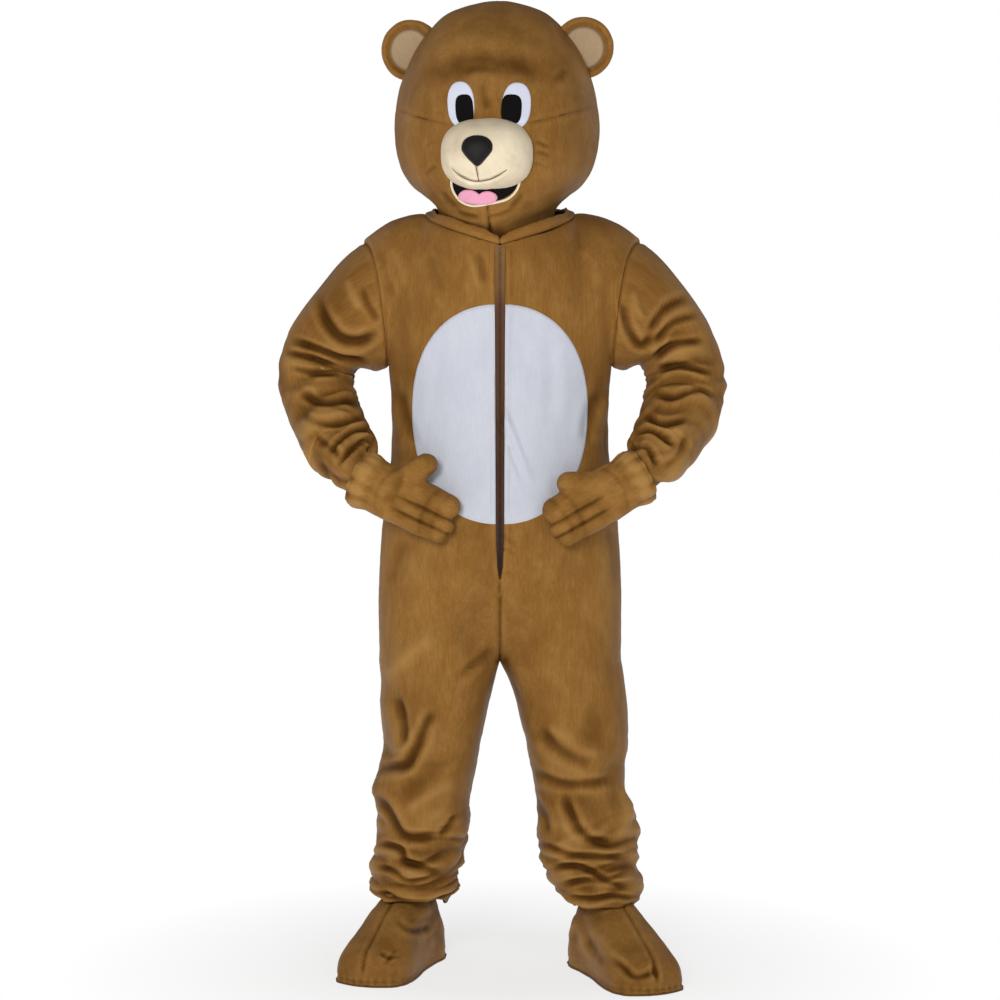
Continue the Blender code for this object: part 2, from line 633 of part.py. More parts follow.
def suit_surface():
    """Front and back panels and sleeves on shared points, with their folds."""
    surface = Surface()
    for side, sign in SIDES.items():
        grids = {face: panel_grid(side, face) for face in ("front", "back")}
        girth = girth_of([grids["front"][0], grids["back"][0]])
        for face, (grid, around) in grids.items():
            moves = fold_depth(SUIT_FOLDS[side], grid[:, :, 2], around, girth)
            moves[: YOKE_SPACES + 1] = 0.0
            if (sign > 0) == (face == "front"):
                grid, moves = grid[:, ::-1], moves[:, ::-1]
            surface.add_grid(f"suit_{face}_{side}", grid, moves)
        front, back = grids["front"][0], grids["back"][0]
        armhole = np.concatenate([front[YOKE_SPACES::-1, -1], back[1:YOKE_SPACES, -1]])
        grid, along, turn = sleeve_grid(side, armhole)
        girth = girth_of([np.concatenate([grid, grid[:, :1]], axis=1)])
        moves = fold_depth(SLEEVE_FOLDS[side], along, turn, girth) * np.clip(along / 0.06, 0, 1)
        if sign > 0:
            grid, moves = grid[:, ::-1], moves[:, ::-1]
        surface.add_grid(f"suit_sleeve_{side}", grid, moves, closed=True)
    surface.settle()
    return surface


HEAD_PIECES = ("head_forehead", "head_cheek_left", "head_cheek_right", "head_back_left", "head_back_right")


def head_surface():
    """The padded head on shared points, its crown closed and its neck open."""
    angle = np.arange(HEAD_SPACES) / HEAD_SPACES * 2 * math.pi
    facing = np.cos(angle)
    rings = []
    for ring in HEAD:
        reach = np.where(facing > 0, -ring.front, ring.back)
        dip = np.where(facing > 0, ring.front_height, ring.back_height) - ring.side_height
        x = ring.half_width * np.sin(angle)
        rings.append(np.stack([x, -facing * reach, ring.side_height + dip * facing ** 2], axis=1))
    rings[0][:] = (0.0, HEAD[0].front, HEAD[0].side_height)
    quarter = HEAD_SPACES // 4

    def label(i, j):
        section = j // quarter
        if section in (1, 2):
            return "head_back_left" if section == 1 else "head_back_right"
        if i < CHEEK_SEAM_RING:
            return "head_forehead"
        return "head_cheek_left" if section == 0 else "head_cheek_right"

    surface = Surface()
    surface.add_grid(label, np.array(rings), closed=True)
    surface.faces = [(name, corners[:1] + corners[:0:-1]) for name, corners in surface.faces]
    return surface


def head_block(surface, growth):
    """The whole outside of the head as one solid, for cutting what sits on it."""
    points = np.array(surface.points) + surface.normals() * growth
    loops = [corners for _, corners in surface.faces]
    loops.append(list(range(len(points) - HEAD_SPACES, len(points))))
    return closed_mesh(points, loops)


# Solids for cutting, and cutting itself

def oval_points(feature, spaces=28, grow=0.0):
    """A rounded outline in the X and height plane."""
    angle = np.arange(spaces) / spaces * 2 * math.pi
    power = 2 / feature.roundness
    x = feature.x + (feature.half_width + grow) * signed_power(np.cos(angle), power)
    z = feature.height + (feature.half_height + grow) * signed_power(np.sin(angle), power)
    return list(zip(x, z))


def prism_along_y(outline, start, end):
    """A solid of an X and height outline, pushed through from start to end along Y."""
    return loft([[(x, y, z) for x, z in outline] for y in (start, end)])


def loft(rings):
    """A closed solid through rings with the same number of points, its ends capped."""
    count = len(rings[0])
    verts = [point for ring in rings for point in ring]
    loops = []
    for n in range(len(rings) - 1):
        for k in range(count):
            m = (k + 1) % count
            loops.append([n * count + k, n * count + m, (n + 1) * count + m, (n + 1) * count + k])
    loops.append(list(range(count)))
    loops.append([(len(rings) - 1) * count + k for k in range(count)])
    return closed_mesh(verts, loops)


def ball(centre, radii, spaces, rings, roundness=2.0):
    """A rounded body from a sphere: radii along X, Y and Z, squared off in the X and Z plane."""
    shape = bmesh.new()
    bmesh.ops.create_uvsphere(shape, u_segments=spaces, v_segments=rings, radius=1.0)
    bmesh.ops.rotate(shape, cent=(0, 0, 0), matrix=Matrix.Rotation(math.pi / 2, 3, "X"), verts=shape.verts)
    for vert in shape.verts:
        flat = math.hypot(vert.co.x, vert.co.z)
        if flat > 1e-6:
            wide, high = abs(vert.co.x) / flat, abs(vert.co.z) / flat
            stretch = (wide ** roundness + high ** roundness) ** (-1 / roundness)
            vert.co.x *= stretch
            vert.co.z *= stretch
        vert.co = Vector(centre) + Vector([vert.co[k] * radii[k] for k in range(3)])
    mesh = bpy.data.meshes.new("ball")
    shape.to_mesh(mesh)
    shape.free()
    return mesh


def combine(base, other, operation, cutters):
    """A Boolean of two meshes, returned as a mesh."""
    target = bpy.data.objects.new("work", base)
    tool = bpy.data.objects.new("tool", other)
    for thing in (target, tool):
        thing.hide_render = True
        thing.display_type = "WIRE"
        cutters.objects.link(thing)
    step = target.modifiers.new("cut", "BOOLEAN")
    step.operation = operation
    step.object = tool
    step.solver = "EXACT"
    graph = bpy.context.evaluated_depsgraph_get()
    result = bpy.data.meshes.new_from_object(target.evaluated_get(graph))
    bpy.data.objects.remove(target, do_unlink=True)
    bpy.data.objects.remove(tool, do_unlink=True)
    shape = bmesh.new()
    shape.from_mesh(result)
    bmesh.ops.remove_doubles(shape, verts=shape.verts, dist=0.00002)
    bmesh.ops.dissolve_degenerate(shape, edges=shape.edges, dist=0.00002)
    bmesh.ops.triangulate(shape, faces=shape.faces)
    shape.to_mesh(result)
    shape.free()
    return result


def half_of(mesh, point, normal, cutters):
    """The half of a closed mesh on the side that the normal points to, less half a seam gap."""
    shape = bmesh.new()
    bmesh.ops.create_cube(shape, size=1.0)
    turn = Vector(normal).to_track_quat("Z", "Y").to_matrix().to_4x4()
    place = Matrix.Translation(Vector(point) + Vector(normal).normalized() * (SEAM_GAP / 2 + 0.5))
    bmesh.ops.transform(shape, matrix=place @ turn, verts=shape.verts)
    block = bpy.data.meshes.new("half_space")
    shape.to_mesh(block)
    shape.free()
    return combine(mesh.copy(), block, "INTERSECT", cutters)


# Pieces laid on the suit

def layer_on(surface, labels, layer, thickness=PATCH, above=0.0):
    """A skin over these pieces, one or more layers of cloth off them."""
    low = SEAM_GAP + layer * (PATCH + SEAM_GAP)
    return surface.cut(labels, low, low + thickness, trim=0.0, above=above)


def zip_outline():
    """The strip's outline, narrowing to its foot."""
    right = [(strip.half_width, strip.height) for strip in ZIP]
    left = [(-x, z) for x, z in reversed(right)]
    return right + left


def zip_edge(heights):
    """Half the strip's width at these heights."""
    upward = ZIP[::-1]
    return np.interp(heights, [row.height for row in upward], [row.half_width for row in upward])


def belly_outline(side):
    """Half of the belly oval, from the edge of the zip strip outwards."""
    turn = np.linspace(math.pi / 2, -math.pi / 2, 29)
    power = 2 / BELLY_ROUNDNESS
    x = BELLY_HALF_WIDTH * np.clip(np.cos(turn), 0, 1) ** power
    z = BELLY_CENTRE + np.where(turn > 0, BELLY_RISE, BELLY_DROP) * signed_power(np.sin(turn), power)
    edge = zip_edge(z) + SEAM_GAP
    outer = [(reach, height) for reach, height, limit in zip(x, z, edge) if reach > limit + 0.002]
    heights = np.linspace(z[-1] + 0.0005, z[0] - 0.0005, 9)
    inner = list(zip(zip_edge(heights) + SEAM_GAP, heights))
    return [(SIDES[side] * reach, height) for reach, height in outer + inner]


def make_belly_and_zip(suit, frame, parts, cutters):
    """The zip strip over the front seam, and the belly oval's two halves beside it."""
    fronts = ("suit_front_left", "suit_front_right")
    skin = layer_on(suit, fronts, 0, above=FRONT_SKIN_FOOT)
    strip = combine(skin.copy(), prism_along_y(zip_outline(), *FACE_PRISM), "INTERSECT", cutters)
    add_part("zip_strip", strip, finish("zip", ZIP_BROWN, 0.6), frame, parts)
    for side in SIDES:
        prism = prism_along_y(belly_outline(side), *FACE_PRISM)
        patch = combine(skin.copy(), prism, "INTERSECT", cutters)
        add_part(f"belly_{side}", patch, finish("belly_cloth", WHITE, 0.9), frame, parts)


def make_collar(frame, parts):
    """A band that stands on the neckline, its two ends meeting at the front."""
    path = {}
    for side, sign in SIDES.items():
        turn = np.linspace(0, 1, PANEL_SPACES + 1)
        turn = turn[turn <= NECK_SHARE]
        front = neck_and_shoulder(side, "front", turn) * (sign, 1, 1)
        back = neck_and_shoulder(side, "back", turn) * (sign, 1, 1)
        path[side] = np.concatenate([front, back[-2::-1]])
    share = np.linspace(0, 1, len(path["left"]))
    line = np.concatenate([path["left"], path["right"][-2::-1]])
    stand = read_table(COLLAR, np.concatenate([share, share[-2::-1]]))
    inward = line * (-1, -1, 0)
    inward /= np.linalg.norm(inward, axis=1)[:, None]
    half = COLLAR_WALL / 2
    foot = line + (0, 0, 2 * SEAM_GAP)
    top = foot + stand[:, 2:3] * inward + stand[:, 1:2] * np.array([0, 0, 1.0])
    middle = (foot + top) / 2
    sections = (
        foot - inward * half * 0.2,
        middle - inward * half * 1.1,
        top - inward * half,
        top + np.array([0, 0, half]),
        top + inward * half,
        middle + inward * half * 0.9,
        foot + inward * half * 1.4,
    )
    for section in sections:
        section[0, 0] = COLLAR_OPENING / 2
        section[-1, 0] = -COLLAR_OPENING / 2
    mesh = loft([[section[n] for section in sections] for n in range(len(line))])
    add_part("suit_collar", mesh, finish("plush", PLUSH, 0.9), frame, parts)


# The head and its face

def muzzle_ball(growth=0.0):
    """The muzzle's dome, grown by a gap where it cuts other pieces."""
    centre = (MUZZLE.x, MUZZLE_BASE, MUZZLE.height)
    radii = (MUZZLE.half_width + growth, MUZZLE_DEPTH + growth, MUZZLE.half_height + growth)
    return ball(centre, radii, 22, 12, MUZZLE.roundness)


def nose_ball():
    """A rounded triangle, wide above and narrow below."""
    front = MUZZLE_BASE - MUZZLE_DEPTH + 0.004
    mesh = ball((0, 0, 0), (NOSE.half_width, NOSE_DEPTH, NOSE.half_height), 16, 8)
    for vert in mesh.vertices:
        share = vert.co.z / NOSE.half_height
        vert.co.x *= 1 + NOSE_TAPER * (0.4 * share if share > 0 else share)
        vert.co += Vector((NOSE.x, front, NOSE.height))
    return mesh


def tongue_outline():
    """Two rounded lobes side by side."""
    angle = np.arange(32) / 32 * 2 * math.pi
    x = TONGUE.half_width * np.cos(angle)
    z = TONGUE.half_height * np.sin(angle)
    z = z - 0.006 * np.exp(-(x / 0.008) ** 2) * (np.sin(angle) > 0)
    reach = np.abs(TONGUE.x + x) / (MOUTH.half_width - LIP_WIDTH)
    drop = (1 - reach ** MOUTH.roundness) ** (1 / MOUTH.roundness)
    foot = MOUTH.height - (MOUTH.half_height - LIP_WIDTH - 0.001) * drop
    return list(zip(TONGUE.x + x, np.maximum(TONGUE.height + z, foot)))


def make_face(head, frame, parts, cutters):
    """Eyes, mouth, lip, tongue, muzzle and nose."""
    skin = ("head_forehead", "head_cheek_left", "head_cheek_right")

    def applique(name, outline, layer, material, thickness=PATCH, hole=None):
        mesh = layer_on(head, skin, layer, thickness)
        mesh = combine(mesh, prism_along_y(outline, *FACE_PRISM), "INTERSECT", cutters)
        if hole is not None:
            mesh = combine(mesh, prism_along_y(hole, *FACE_PRISM), "DIFFERENCE", cutters)
        mesh = combine(mesh, muzzle_ball(SEAM_GAP), "DIFFERENCE", cutters)
        add_part(name, mesh, material, frame, parts)

    white, black = finish("white_felt", WHITE, 0.9), finish("black_felt", BLACK, 0.8)
    for side, sign in SIDES.items():
        applique(f"eye_white_{side}", oval_points(EYE_WHITE._replace(x=sign * EYE_WHITE.x)), 0, white)
        applique(f"eye_pupil_{side}", oval_points(PUPIL._replace(x=sign * PUPIL.x)), 1, black)
    applique("mouth", oval_points(MOUTH, grow=-LIP_WIDTH - SEAM_GAP), 0, black)
    applique("tongue", tongue_outline(), 1, finish("tongue_cloth", PINK, 0.8))
    lip = finish("cream_plush", CREAM, 0.9)
    applique("lip", oval_points(MOUTH), 0, lip, LIP_THICKNESS, hole=oval_points(MOUTH, grow=-LIP_WIDTH))
    muzzle = combine(muzzle_ball(), head_block(head, SEAM_GAP), "DIFFERENCE", cutters)
    add_part("muzzle", muzzle, lip, frame, parts)
    nose = combine(nose_ball(), muzzle_ball(SEAM_GAP), "DIFFERENCE", cutters)
    add_part("nose", nose, black, frame, parts)


def turned(profile, radius, spaces):
    """A body turned about the Y axis from shares of a radius and depths."""
    shape = bmesh.new()
    verts = [shape.verts.new((row.radius_share * radius, row.depth, 0)) for row in profile]
    edges = [shape.edges.new(pair) for pair in zip(verts, verts[1:])]
    centre = (0, 0, 0)
    bmesh.ops.spin(shape, geom=verts + edges, cent=centre, axis=(0, 1, 0), angle=2 * math.pi, steps=spaces)
    bmesh.ops.remove_doubles(shape, verts=shape.verts, dist=0.0001)
    bmesh.ops.recalc_face_normals(shape, faces=shape.faces)
    mesh = bpy.data.meshes.new("turned")
    shape.to_mesh(mesh)
    shape.free()
    return mesh


def inner_ear_profile():
    """A disc that follows the ear's dish, one seam gap off it."""
    centre, bend, edge = EAR_PROFILE[:3]
    share = EAR_INNER_SHARE - 0.02
    depth = edge.depth + (bend.depth - edge.depth) * 0.02 / (edge.radius_share - bend.radius_share)
    dish = (centre, bend, Profile(share, depth))
    near = [Profile(row.radius_share, row.depth - SEAM_GAP * 1.4) for row in dish]
    far = [Profile(row.radius_share, row.depth - PATCH) for row in near]
    return near + far[::-1]


def make_ears(head, frame, parts, cutters):
    """Stuffed ears with a raised rim, and the beige discs in their dishes."""
    for side, sign in SIDES.items():
        place = Matrix.Translation((sign * EAR.x, EAR.y, EAR.height))
        place = place @ Matrix.Rotation(sign * EAR_LEAN, 4, "Y") @ Matrix.Rotation(sign * EAR_TURN, 4, "Z")
        for name, profile, material in (
            (f"ear_{side}", EAR_PROFILE, finish("plush", PLUSH, 0.9)),
            (f"ear_inner_{side}", inner_ear_profile(), finish("beige_plush", BEIGE, 0.9)),
        ):
            mesh = turned(profile, EAR_RADIUS, EAR_SPACES)
            mesh.transform(place)
            mesh = combine(mesh, head_block(head, SEAM_GAP), "DIFFERENCE", cutters)
            add_part(name, mesh, material, frame, parts)


def make_head(frame, parts, cutters):
    """All of the head, turned a little to the wearer's right."""
    head = head_surface()
    for name in HEAD_PIECES:
        add_part(name, head.cut((name,), -HEAD_WALL, 0.0), finish("plush", PLUSH, 0.9), frame, parts)
    make_face(head, frame, parts, cutters)
    make_ears(head, frame, parts, cutters)


# Gloves

def hand_frame(hand):
    """The glove's directions: along the hand, across it to the thumb side, and out of its back."""
    along = Vector(hand.axis).normalized()
    across = Vector(hand.across)
    across = (across - along * across.dot(along)).normalized()
    out = along.cross(across)
    if out.y > 0:
        out.negate()
    return along, across, out


def palm_body(hand, inset):
    """The palm and fingers held straight in one form, with channels between the fingers."""
    along, across, out = hand_frame(hand)
    wrist = Vector((hand.x, hand.y, hand.height))
    rows = list(PALM)
    if inset > 0:
        rows[0] = rows[0]._replace(along=rows[0].along - 0.006)
        rows[-1] = rows[-1]._replace(along=rows[-1].along - inset)
        rows[-2] = rows[-2]._replace(along=rows[-2].along - inset / 2)
    rings = []
    for row in rows:
        ring = []
        tip = max(row.along, 0) / PALM[-1].along
        for n in range(PALM_SPACES):
            angle = n / PALM_SPACES * 2 * math.pi
            sideways, thick = math.cos(angle), math.sin(angle)
            channel = math.cos(math.pi * FINGERS * (sideways + 1) / 2) ** 2 * (abs(sideways) < 0.6)
            wide = (row.half_width - inset) * sideways
            deep = (row.half_depth - inset) * math.copysign(abs(thick) ** 0.85, thick)
            deep *= 1 - row.groove * channel
            reach = row.along - TIP_NOTCH * row.groove * channel * tip
            ring.append(wrist + along * reach + across * wide + out * deep)
        rings.append(ring)
    return loft(rings)


def thumb_body(hand, inset):
    """A rounded thumb that leaves the palm near its root."""
    along, across, out = hand_frame(hand)
    start = Vector((hand.x, hand.y, hand.height)) + along * THUMB_ALONG + across * THUMB_ACROSS + out * 0.004
    shape = bmesh.new()
    bmesh.ops.create_uvsphere(shape, u_segments=10, v_segments=6, radius=THUMB_RADIUS - inset)
    for vert in shape.verts:
        vert.co.z += hand.thumb_length if vert.co.z > 0.001 else 0.0
    turn = Vector(hand.thumb_axis).normalized().to_track_quat("Z", "Y").to_matrix().to_4x4()
    bmesh.ops.transform(shape, matrix=Matrix.Translation(start) @ turn, verts=shape.verts)
    mesh = bpy.data.meshes.new("thumb")
    shape.to_mesh(mesh)
    shape.free()
    return mesh


def curl_hand(mesh, hand):
    """Bend the straight hand towards its palm, more and more towards the finger tips."""
    along, _, out = hand_frame(hand)
    wrist = Vector((hand.x, hand.y, hand.height))
    for vert in mesh.vertices:
        reach = max((vert.co - wrist).dot(along), 0.0)
        vert.co -= out * PALM_CURL * reach ** 2
    return mesh


def make_gloves(frame, parts, cutters):
    """Hollow gloves, open at the cuff, each in a back and a palm."""
    for side, hand in HANDS.items():
        outer = combine(palm_body(hand, 0.0), thumb_body(hand, 0.0), "UNION", cutters)
        inner = combine(palm_body(hand, CLOTH), thumb_body(hand, CLOTH), "UNION", cutters)
        glove = combine(outer, inner, "DIFFERENCE", cutters)
        out = hand_frame(hand)[2]
        wrist = Vector((hand.x, hand.y, hand.height)) - out * 0.004
        material = finish("plush", PLUSH, 0.9)
        for piece, facing in (("back", out), ("palm", -out)):
            mesh = curl_hand(half_of(glove, wrist, facing, cutters), hand)
            add_part(f"glove_{side}_{piece}", mesh, material, frame, parts)


# Boot covers

def boot_body(inset, floor):
    """The upper's form from heel to toe: flat below and domed above."""
    power = 2 / BOOT_ROUNDNESS
    shrink = 1 - inset * 1.1 / -FOOT[-1].along
    rings = []
    for row in FOOT:
        half = row.half_width - inset
        rise = row.top - inset - floor
        ring = []
        for n in range(BOOT_ARC_SPACES + 1):
            angle = n / BOOT_ARC_SPACES * math.pi
            height = floor + rise * max(math.sin(angle), 0) ** power
            ring.append((half * signed_power(math.cos(angle), power), row.along * shrink, height))
        for share in (-0.4, 0.4):
            ring.append((half * share, row.along * shrink, floor))
        rings.append(ring)
    return loft(rings)


def ankle_hole():
    """An upright oval cylinder, where the ankle goes in."""
    shape = bmesh.new()
    bmesh.ops.create_cone(shape, cap_ends=True, segments=18, radius1=1.0, radius2=1.0, depth=0.10)
    bmesh.ops.scale(shape, vec=(ANKLE_HALF_WIDTH, ANKLE_HALF_LENGTH, 1), verts=shape.verts)
    bmesh.ops.translate(shape, vec=(0, ANKLE_BACK, 0.13), verts=shape.verts)
    mesh = bpy.data.meshes.new("ankle")
    shape.to_mesh(mesh)
    shape.free()
    return mesh


def sole_plate():
    """The flat sole: the foot's plan with a small margin, as thick as the sole."""
    widths = [(row.half_width + SOLE_MARGIN, row.along * 1.005) for row in FOOT]
    outline = widths + [(-x, y) for x, y in reversed(widths)]
    return loft([[(x, y, z) for x, y in outline] for z in (0.0, SOLE)])


def make_boots(floor, parts, cutters):
    """Hollow boot covers, open at the ankle and closed below by their soles."""
    for side, boot in BOOTS.items():
        frame = add_parent(f"boot_frame_{side}", (boot.x, boot.y, 0.0), boot.turn)
        frame.parent = floor
        hollow = boot_body(BOOT_WALL, SOLE - 0.01)
        shell = combine(boot_body(0.0, SOLE + SEAM_GAP), hollow, "DIFFERENCE", cutters)
        shell = combine(shell, ankle_hole(), "DIFFERENCE", cutters)
        plush = finish("plush", PLUSH, 0.9)
        for piece, facing in (("inner", -SIDES[side]), ("outer", SIDES[side])):
            mesh = half_of(shell, (0, 0, 0), (facing, 0, 0), cutters)
            add_part(f"boot_{side}_{piece}", mesh, plush, frame, parts)
        add_part(f"boot_{side}_sole", sole_plate(), finish("sole", SOLE_BROWN, 0.8), frame, parts)


def make_suit(frame, parts, cutters):
    """Panels, sleeves, collar, zip strip and belly."""
    suit = suit_surface()
    for piece, trim in (("front", SEAM_TRIM), ("back", SEAM_TRIM), ("sleeve", ARMHOLE_TRIM)):
        for side in SIDES:
            name = f"suit_{piece}_{side}"
            mesh = suit.cut((name,), -CLOTH, 0.0, trim)
            add_part(name, mesh, finish("plush", PLUSH, 0.9), frame, parts)
    make_belly_and_zip(suit, frame, parts, cutters)
    make_collar(frame, parts)


def main():
    clear_scene()
    parts, cutters = make_collections()
    floor = add_parent("floor_frame", (0.0, 0.0, -SHOULDER_HEIGHT))
    head = add_parent("head_frame", (HEAD_CENTRE_X, 0.0, 0.0), HEAD_YAW)
    head.parent = floor
    make_suit(floor, parts, cutters)
    make_head(head, parts, cutters)
    make_gloves(floor, parts, cutters)
    make_boots(floor, parts, cutters)


main()
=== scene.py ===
"""Looks of the bear mascot costume: plush shells on the forms of its solids.

Metres, +Z up, the face towards -Y, +X on the wearer's left. Heights in the tables are above the
floor; the model's origin is between the wearer's shoulders, SHOULDER_HEIGHT above the floor.
"""
import json
import math
from collections import namedtuple

import bmesh
import bpy
import numpy as np
from mathutils import Matrix, Vector
from mathutils.bvhtree import BVHTree

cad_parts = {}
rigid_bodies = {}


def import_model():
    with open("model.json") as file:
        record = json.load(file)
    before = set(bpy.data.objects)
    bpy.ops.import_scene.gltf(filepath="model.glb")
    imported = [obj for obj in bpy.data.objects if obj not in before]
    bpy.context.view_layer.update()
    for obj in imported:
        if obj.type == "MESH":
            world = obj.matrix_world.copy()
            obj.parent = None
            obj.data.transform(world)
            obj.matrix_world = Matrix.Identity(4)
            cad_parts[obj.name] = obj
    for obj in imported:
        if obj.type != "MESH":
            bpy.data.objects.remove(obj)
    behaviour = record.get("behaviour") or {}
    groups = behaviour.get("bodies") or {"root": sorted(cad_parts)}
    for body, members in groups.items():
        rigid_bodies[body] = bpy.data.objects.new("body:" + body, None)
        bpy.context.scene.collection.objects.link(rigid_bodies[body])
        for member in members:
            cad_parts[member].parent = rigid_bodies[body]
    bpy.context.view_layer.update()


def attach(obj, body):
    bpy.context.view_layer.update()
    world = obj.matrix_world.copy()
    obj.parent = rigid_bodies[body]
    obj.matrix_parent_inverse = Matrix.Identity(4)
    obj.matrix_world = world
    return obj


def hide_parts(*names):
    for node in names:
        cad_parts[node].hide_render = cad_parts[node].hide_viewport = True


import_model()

SHOULDER_HEIGHT = 1.400
CLOTH, HEAD_WALL = 0.0022, 0.0070
CHEST_HEIGHT, HIP_HEIGHT, CROTCH_HEIGHT = 1.165, 0.800, 0.594
HEM_HEIGHT, HEM_LIFT, KNEE_HEIGHT = 0.108, 0.034, 0.350
SIDES = {"left": 1, "right": -1}

# Spaces across a front or back panel, and down each stretch of it
PANEL_SPACES = 68
YOKE_SPACES, BODY_SPACES, SEAT_SPACES, THIGH_SPACES, SHIN_SPACES = 54, 58, 38, 48, 92
SLEEVE_SPACES = 122
HEAD_SPACES, HEAD_ROWS = 192, 140

# Half of the trunk at each height: how far it reaches sideways, forwards and backwards
Trunk = namedtuple("Trunk", "height half_width front back")
TRUNK = (
    Trunk(1.165, 0.214, -0.150, 0.140),
    Trunk(1.100, 0.209, -0.154, 0.138),
    Trunk(1.040, 0.208, -0.158, 0.135),
    Trunk(0.980, 0.212, -0.161, 0.135),
    Trunk(0.920, 0.219, -0.163, 0.141),
    Trunk(0.860, 0.226, -0.164, 0.150),
    Trunk(0.800, 0.230, -0.163, 0.156),
    Trunk(0.700, 0.234, -0.158, 0.158),
    Trunk(0.594, 0.234, -0.150, 0.152),
)
TRUNK_ROUNDNESS, LEG_ROUNDNESS = 2.4, 2.2

# Neckline and shoulder corners of half the yoke: sideways, forwards, height
Corner = namedtuple("Corner", "x y height")
NECK = {
    "front": Corner(0.000, -0.151, 1.385),
    "side": Corner(0.142, 0.004, 1.455),
    "back": Corner(0.000, 0.142, 1.458),
}
SHOULDER = {"left": Corner(0.272, 0.012, 1.402), "right": Corner(0.264, 0.012, 1.400)}
NECK_SHARE, SHOULDER_CURVE = 0.50, 0.019
ARMHOLE_SWELL = 0.088

# Each leg at each height: inner and outer seam, front and back
Leg = namedtuple("Leg", "height inner outer front back")
LEGS = {
    "left": (
        Leg(0.594, 0.000, 0.234, -0.138, 0.140),
        Leg(0.560, 0.016, 0.239, -0.136, 0.136),
        Leg(0.500, 0.036, 0.246, -0.132, 0.126),
        Leg(0.440, 0.050, 0.248, -0.128, 0.115),
        Leg(0.383, 0.062, 0.243, -0.124, 0.103),
        Leg(0.345, 0.069, 0.242, -0.122, 0.096),
        Leg(0.300, 0.074, 0.260, -0.126, 0.088),
        Leg(0.250, 0.073, 0.268, -0.130, 0.080),
        Leg(0.207, 0.081, 0.264, -0.132, 0.070),
        Leg(0.165, 0.102, 0.270, -0.136, 0.060),
        Leg(0.130, 0.117, 0.273, -0.138, 0.052),
        Leg(0.108, 0.128, 0.270, -0.134, 0.048),
    ),
    "right": (
        Leg(0.594, 0.000, 0.233, -0.138, 0.140),
        Leg(0.560, 0.010, 0.230, -0.136, 0.138),
        Leg(0.500, 0.026, 0.232, -0.130, 0.130),
        Leg(0.440, 0.036, 0.226, -0.120, 0.124),
        Leg(0.385, 0.047, 0.236, -0.114, 0.118),
        Leg(0.340, 0.058, 0.246, -0.108, 0.112),
        Leg(0.280, 0.060, 0.236, -0.104, 0.112),
        Leg(0.235, 0.067, 0.240, -0.100, 0.112),
        Leg(0.190, 0.079, 0.247, -0.096, 0.108),
        Leg(0.150, 0.085, 0.249, -0.090, 0.104),
        Leg(0.125, 0.086, 0.248, -0.086, 0.100),
        Leg(0.108, 0.088, 0.244, -0.082, 0.096),
    ),
}

# The middle line of each sleeve and its half thickness across the bend and through it
Arm = namedtuple("Arm", "along x y height across through")
ARMS = {
    "left": (
        Arm(0.000, 0.246, 0.010, 1.280, 0.112, 0.092),
        Arm(0.055, 0.290, 0.018, 1.254, 0.092, 0.086),
        Arm(0.115, 0.335, 0.026, 1.210, 0.078, 0.080),
        Arm(0.180, 0.360, 0.024, 1.150, 0.075, 0.076),
        Arm(0.245, 0.353, -0.002, 1.090, 0.076, 0.072),
        Arm(0.305, 0.328, -0.050, 1.040, 0.068, 0.066),
        Arm(0.350, 0.303, -0.092, 1.004, 0.062, 0.058),
        Arm(0.372, 0.297, -0.112, 0.990, 0.052, 0.048),
        Arm(0.394, 0.283, -0.132, 0.975, 0.040, 0.037),
        Arm(0.412, 0.268, -0.149, 0.961, 0.035, 0.032),
        Arm(0.440, 0.244, -0.161, 0.947, 0.033, 0.030),
    ),
    "right": (
        Arm(0.000, 0.240, 0.010, 1.278, 0.112, 0.092),
        Arm(0.055, 0.287, 0.018, 1.250, 0.092, 0.086),
        Arm(0.115, 0.335, 0.026, 1.204, 0.078, 0.080),
        Arm(0.180, 0.360, 0.024, 1.145, 0.073, 0.074),
        Arm(0.245, 0.344, -0.002, 1.085, 0.069, 0.070),
        Arm(0.305, 0.319, -0.050, 1.035, 0.067, 0.065),
        Arm(0.350, 0.297, -0.092, 1.000, 0.062, 0.058),
        Arm(0.372, 0.295, -0.112, 0.986, 0.052, 0.048),
        Arm(0.394, 0.283, -0.132, 0.970, 0.041, 0.038),
        Arm(0.412, 0.268, -0.149, 0.955, 0.035, 0.032),
        Arm(0.440, 0.243, -0.161, 0.943, 0.033, 0.030),
    ),
}

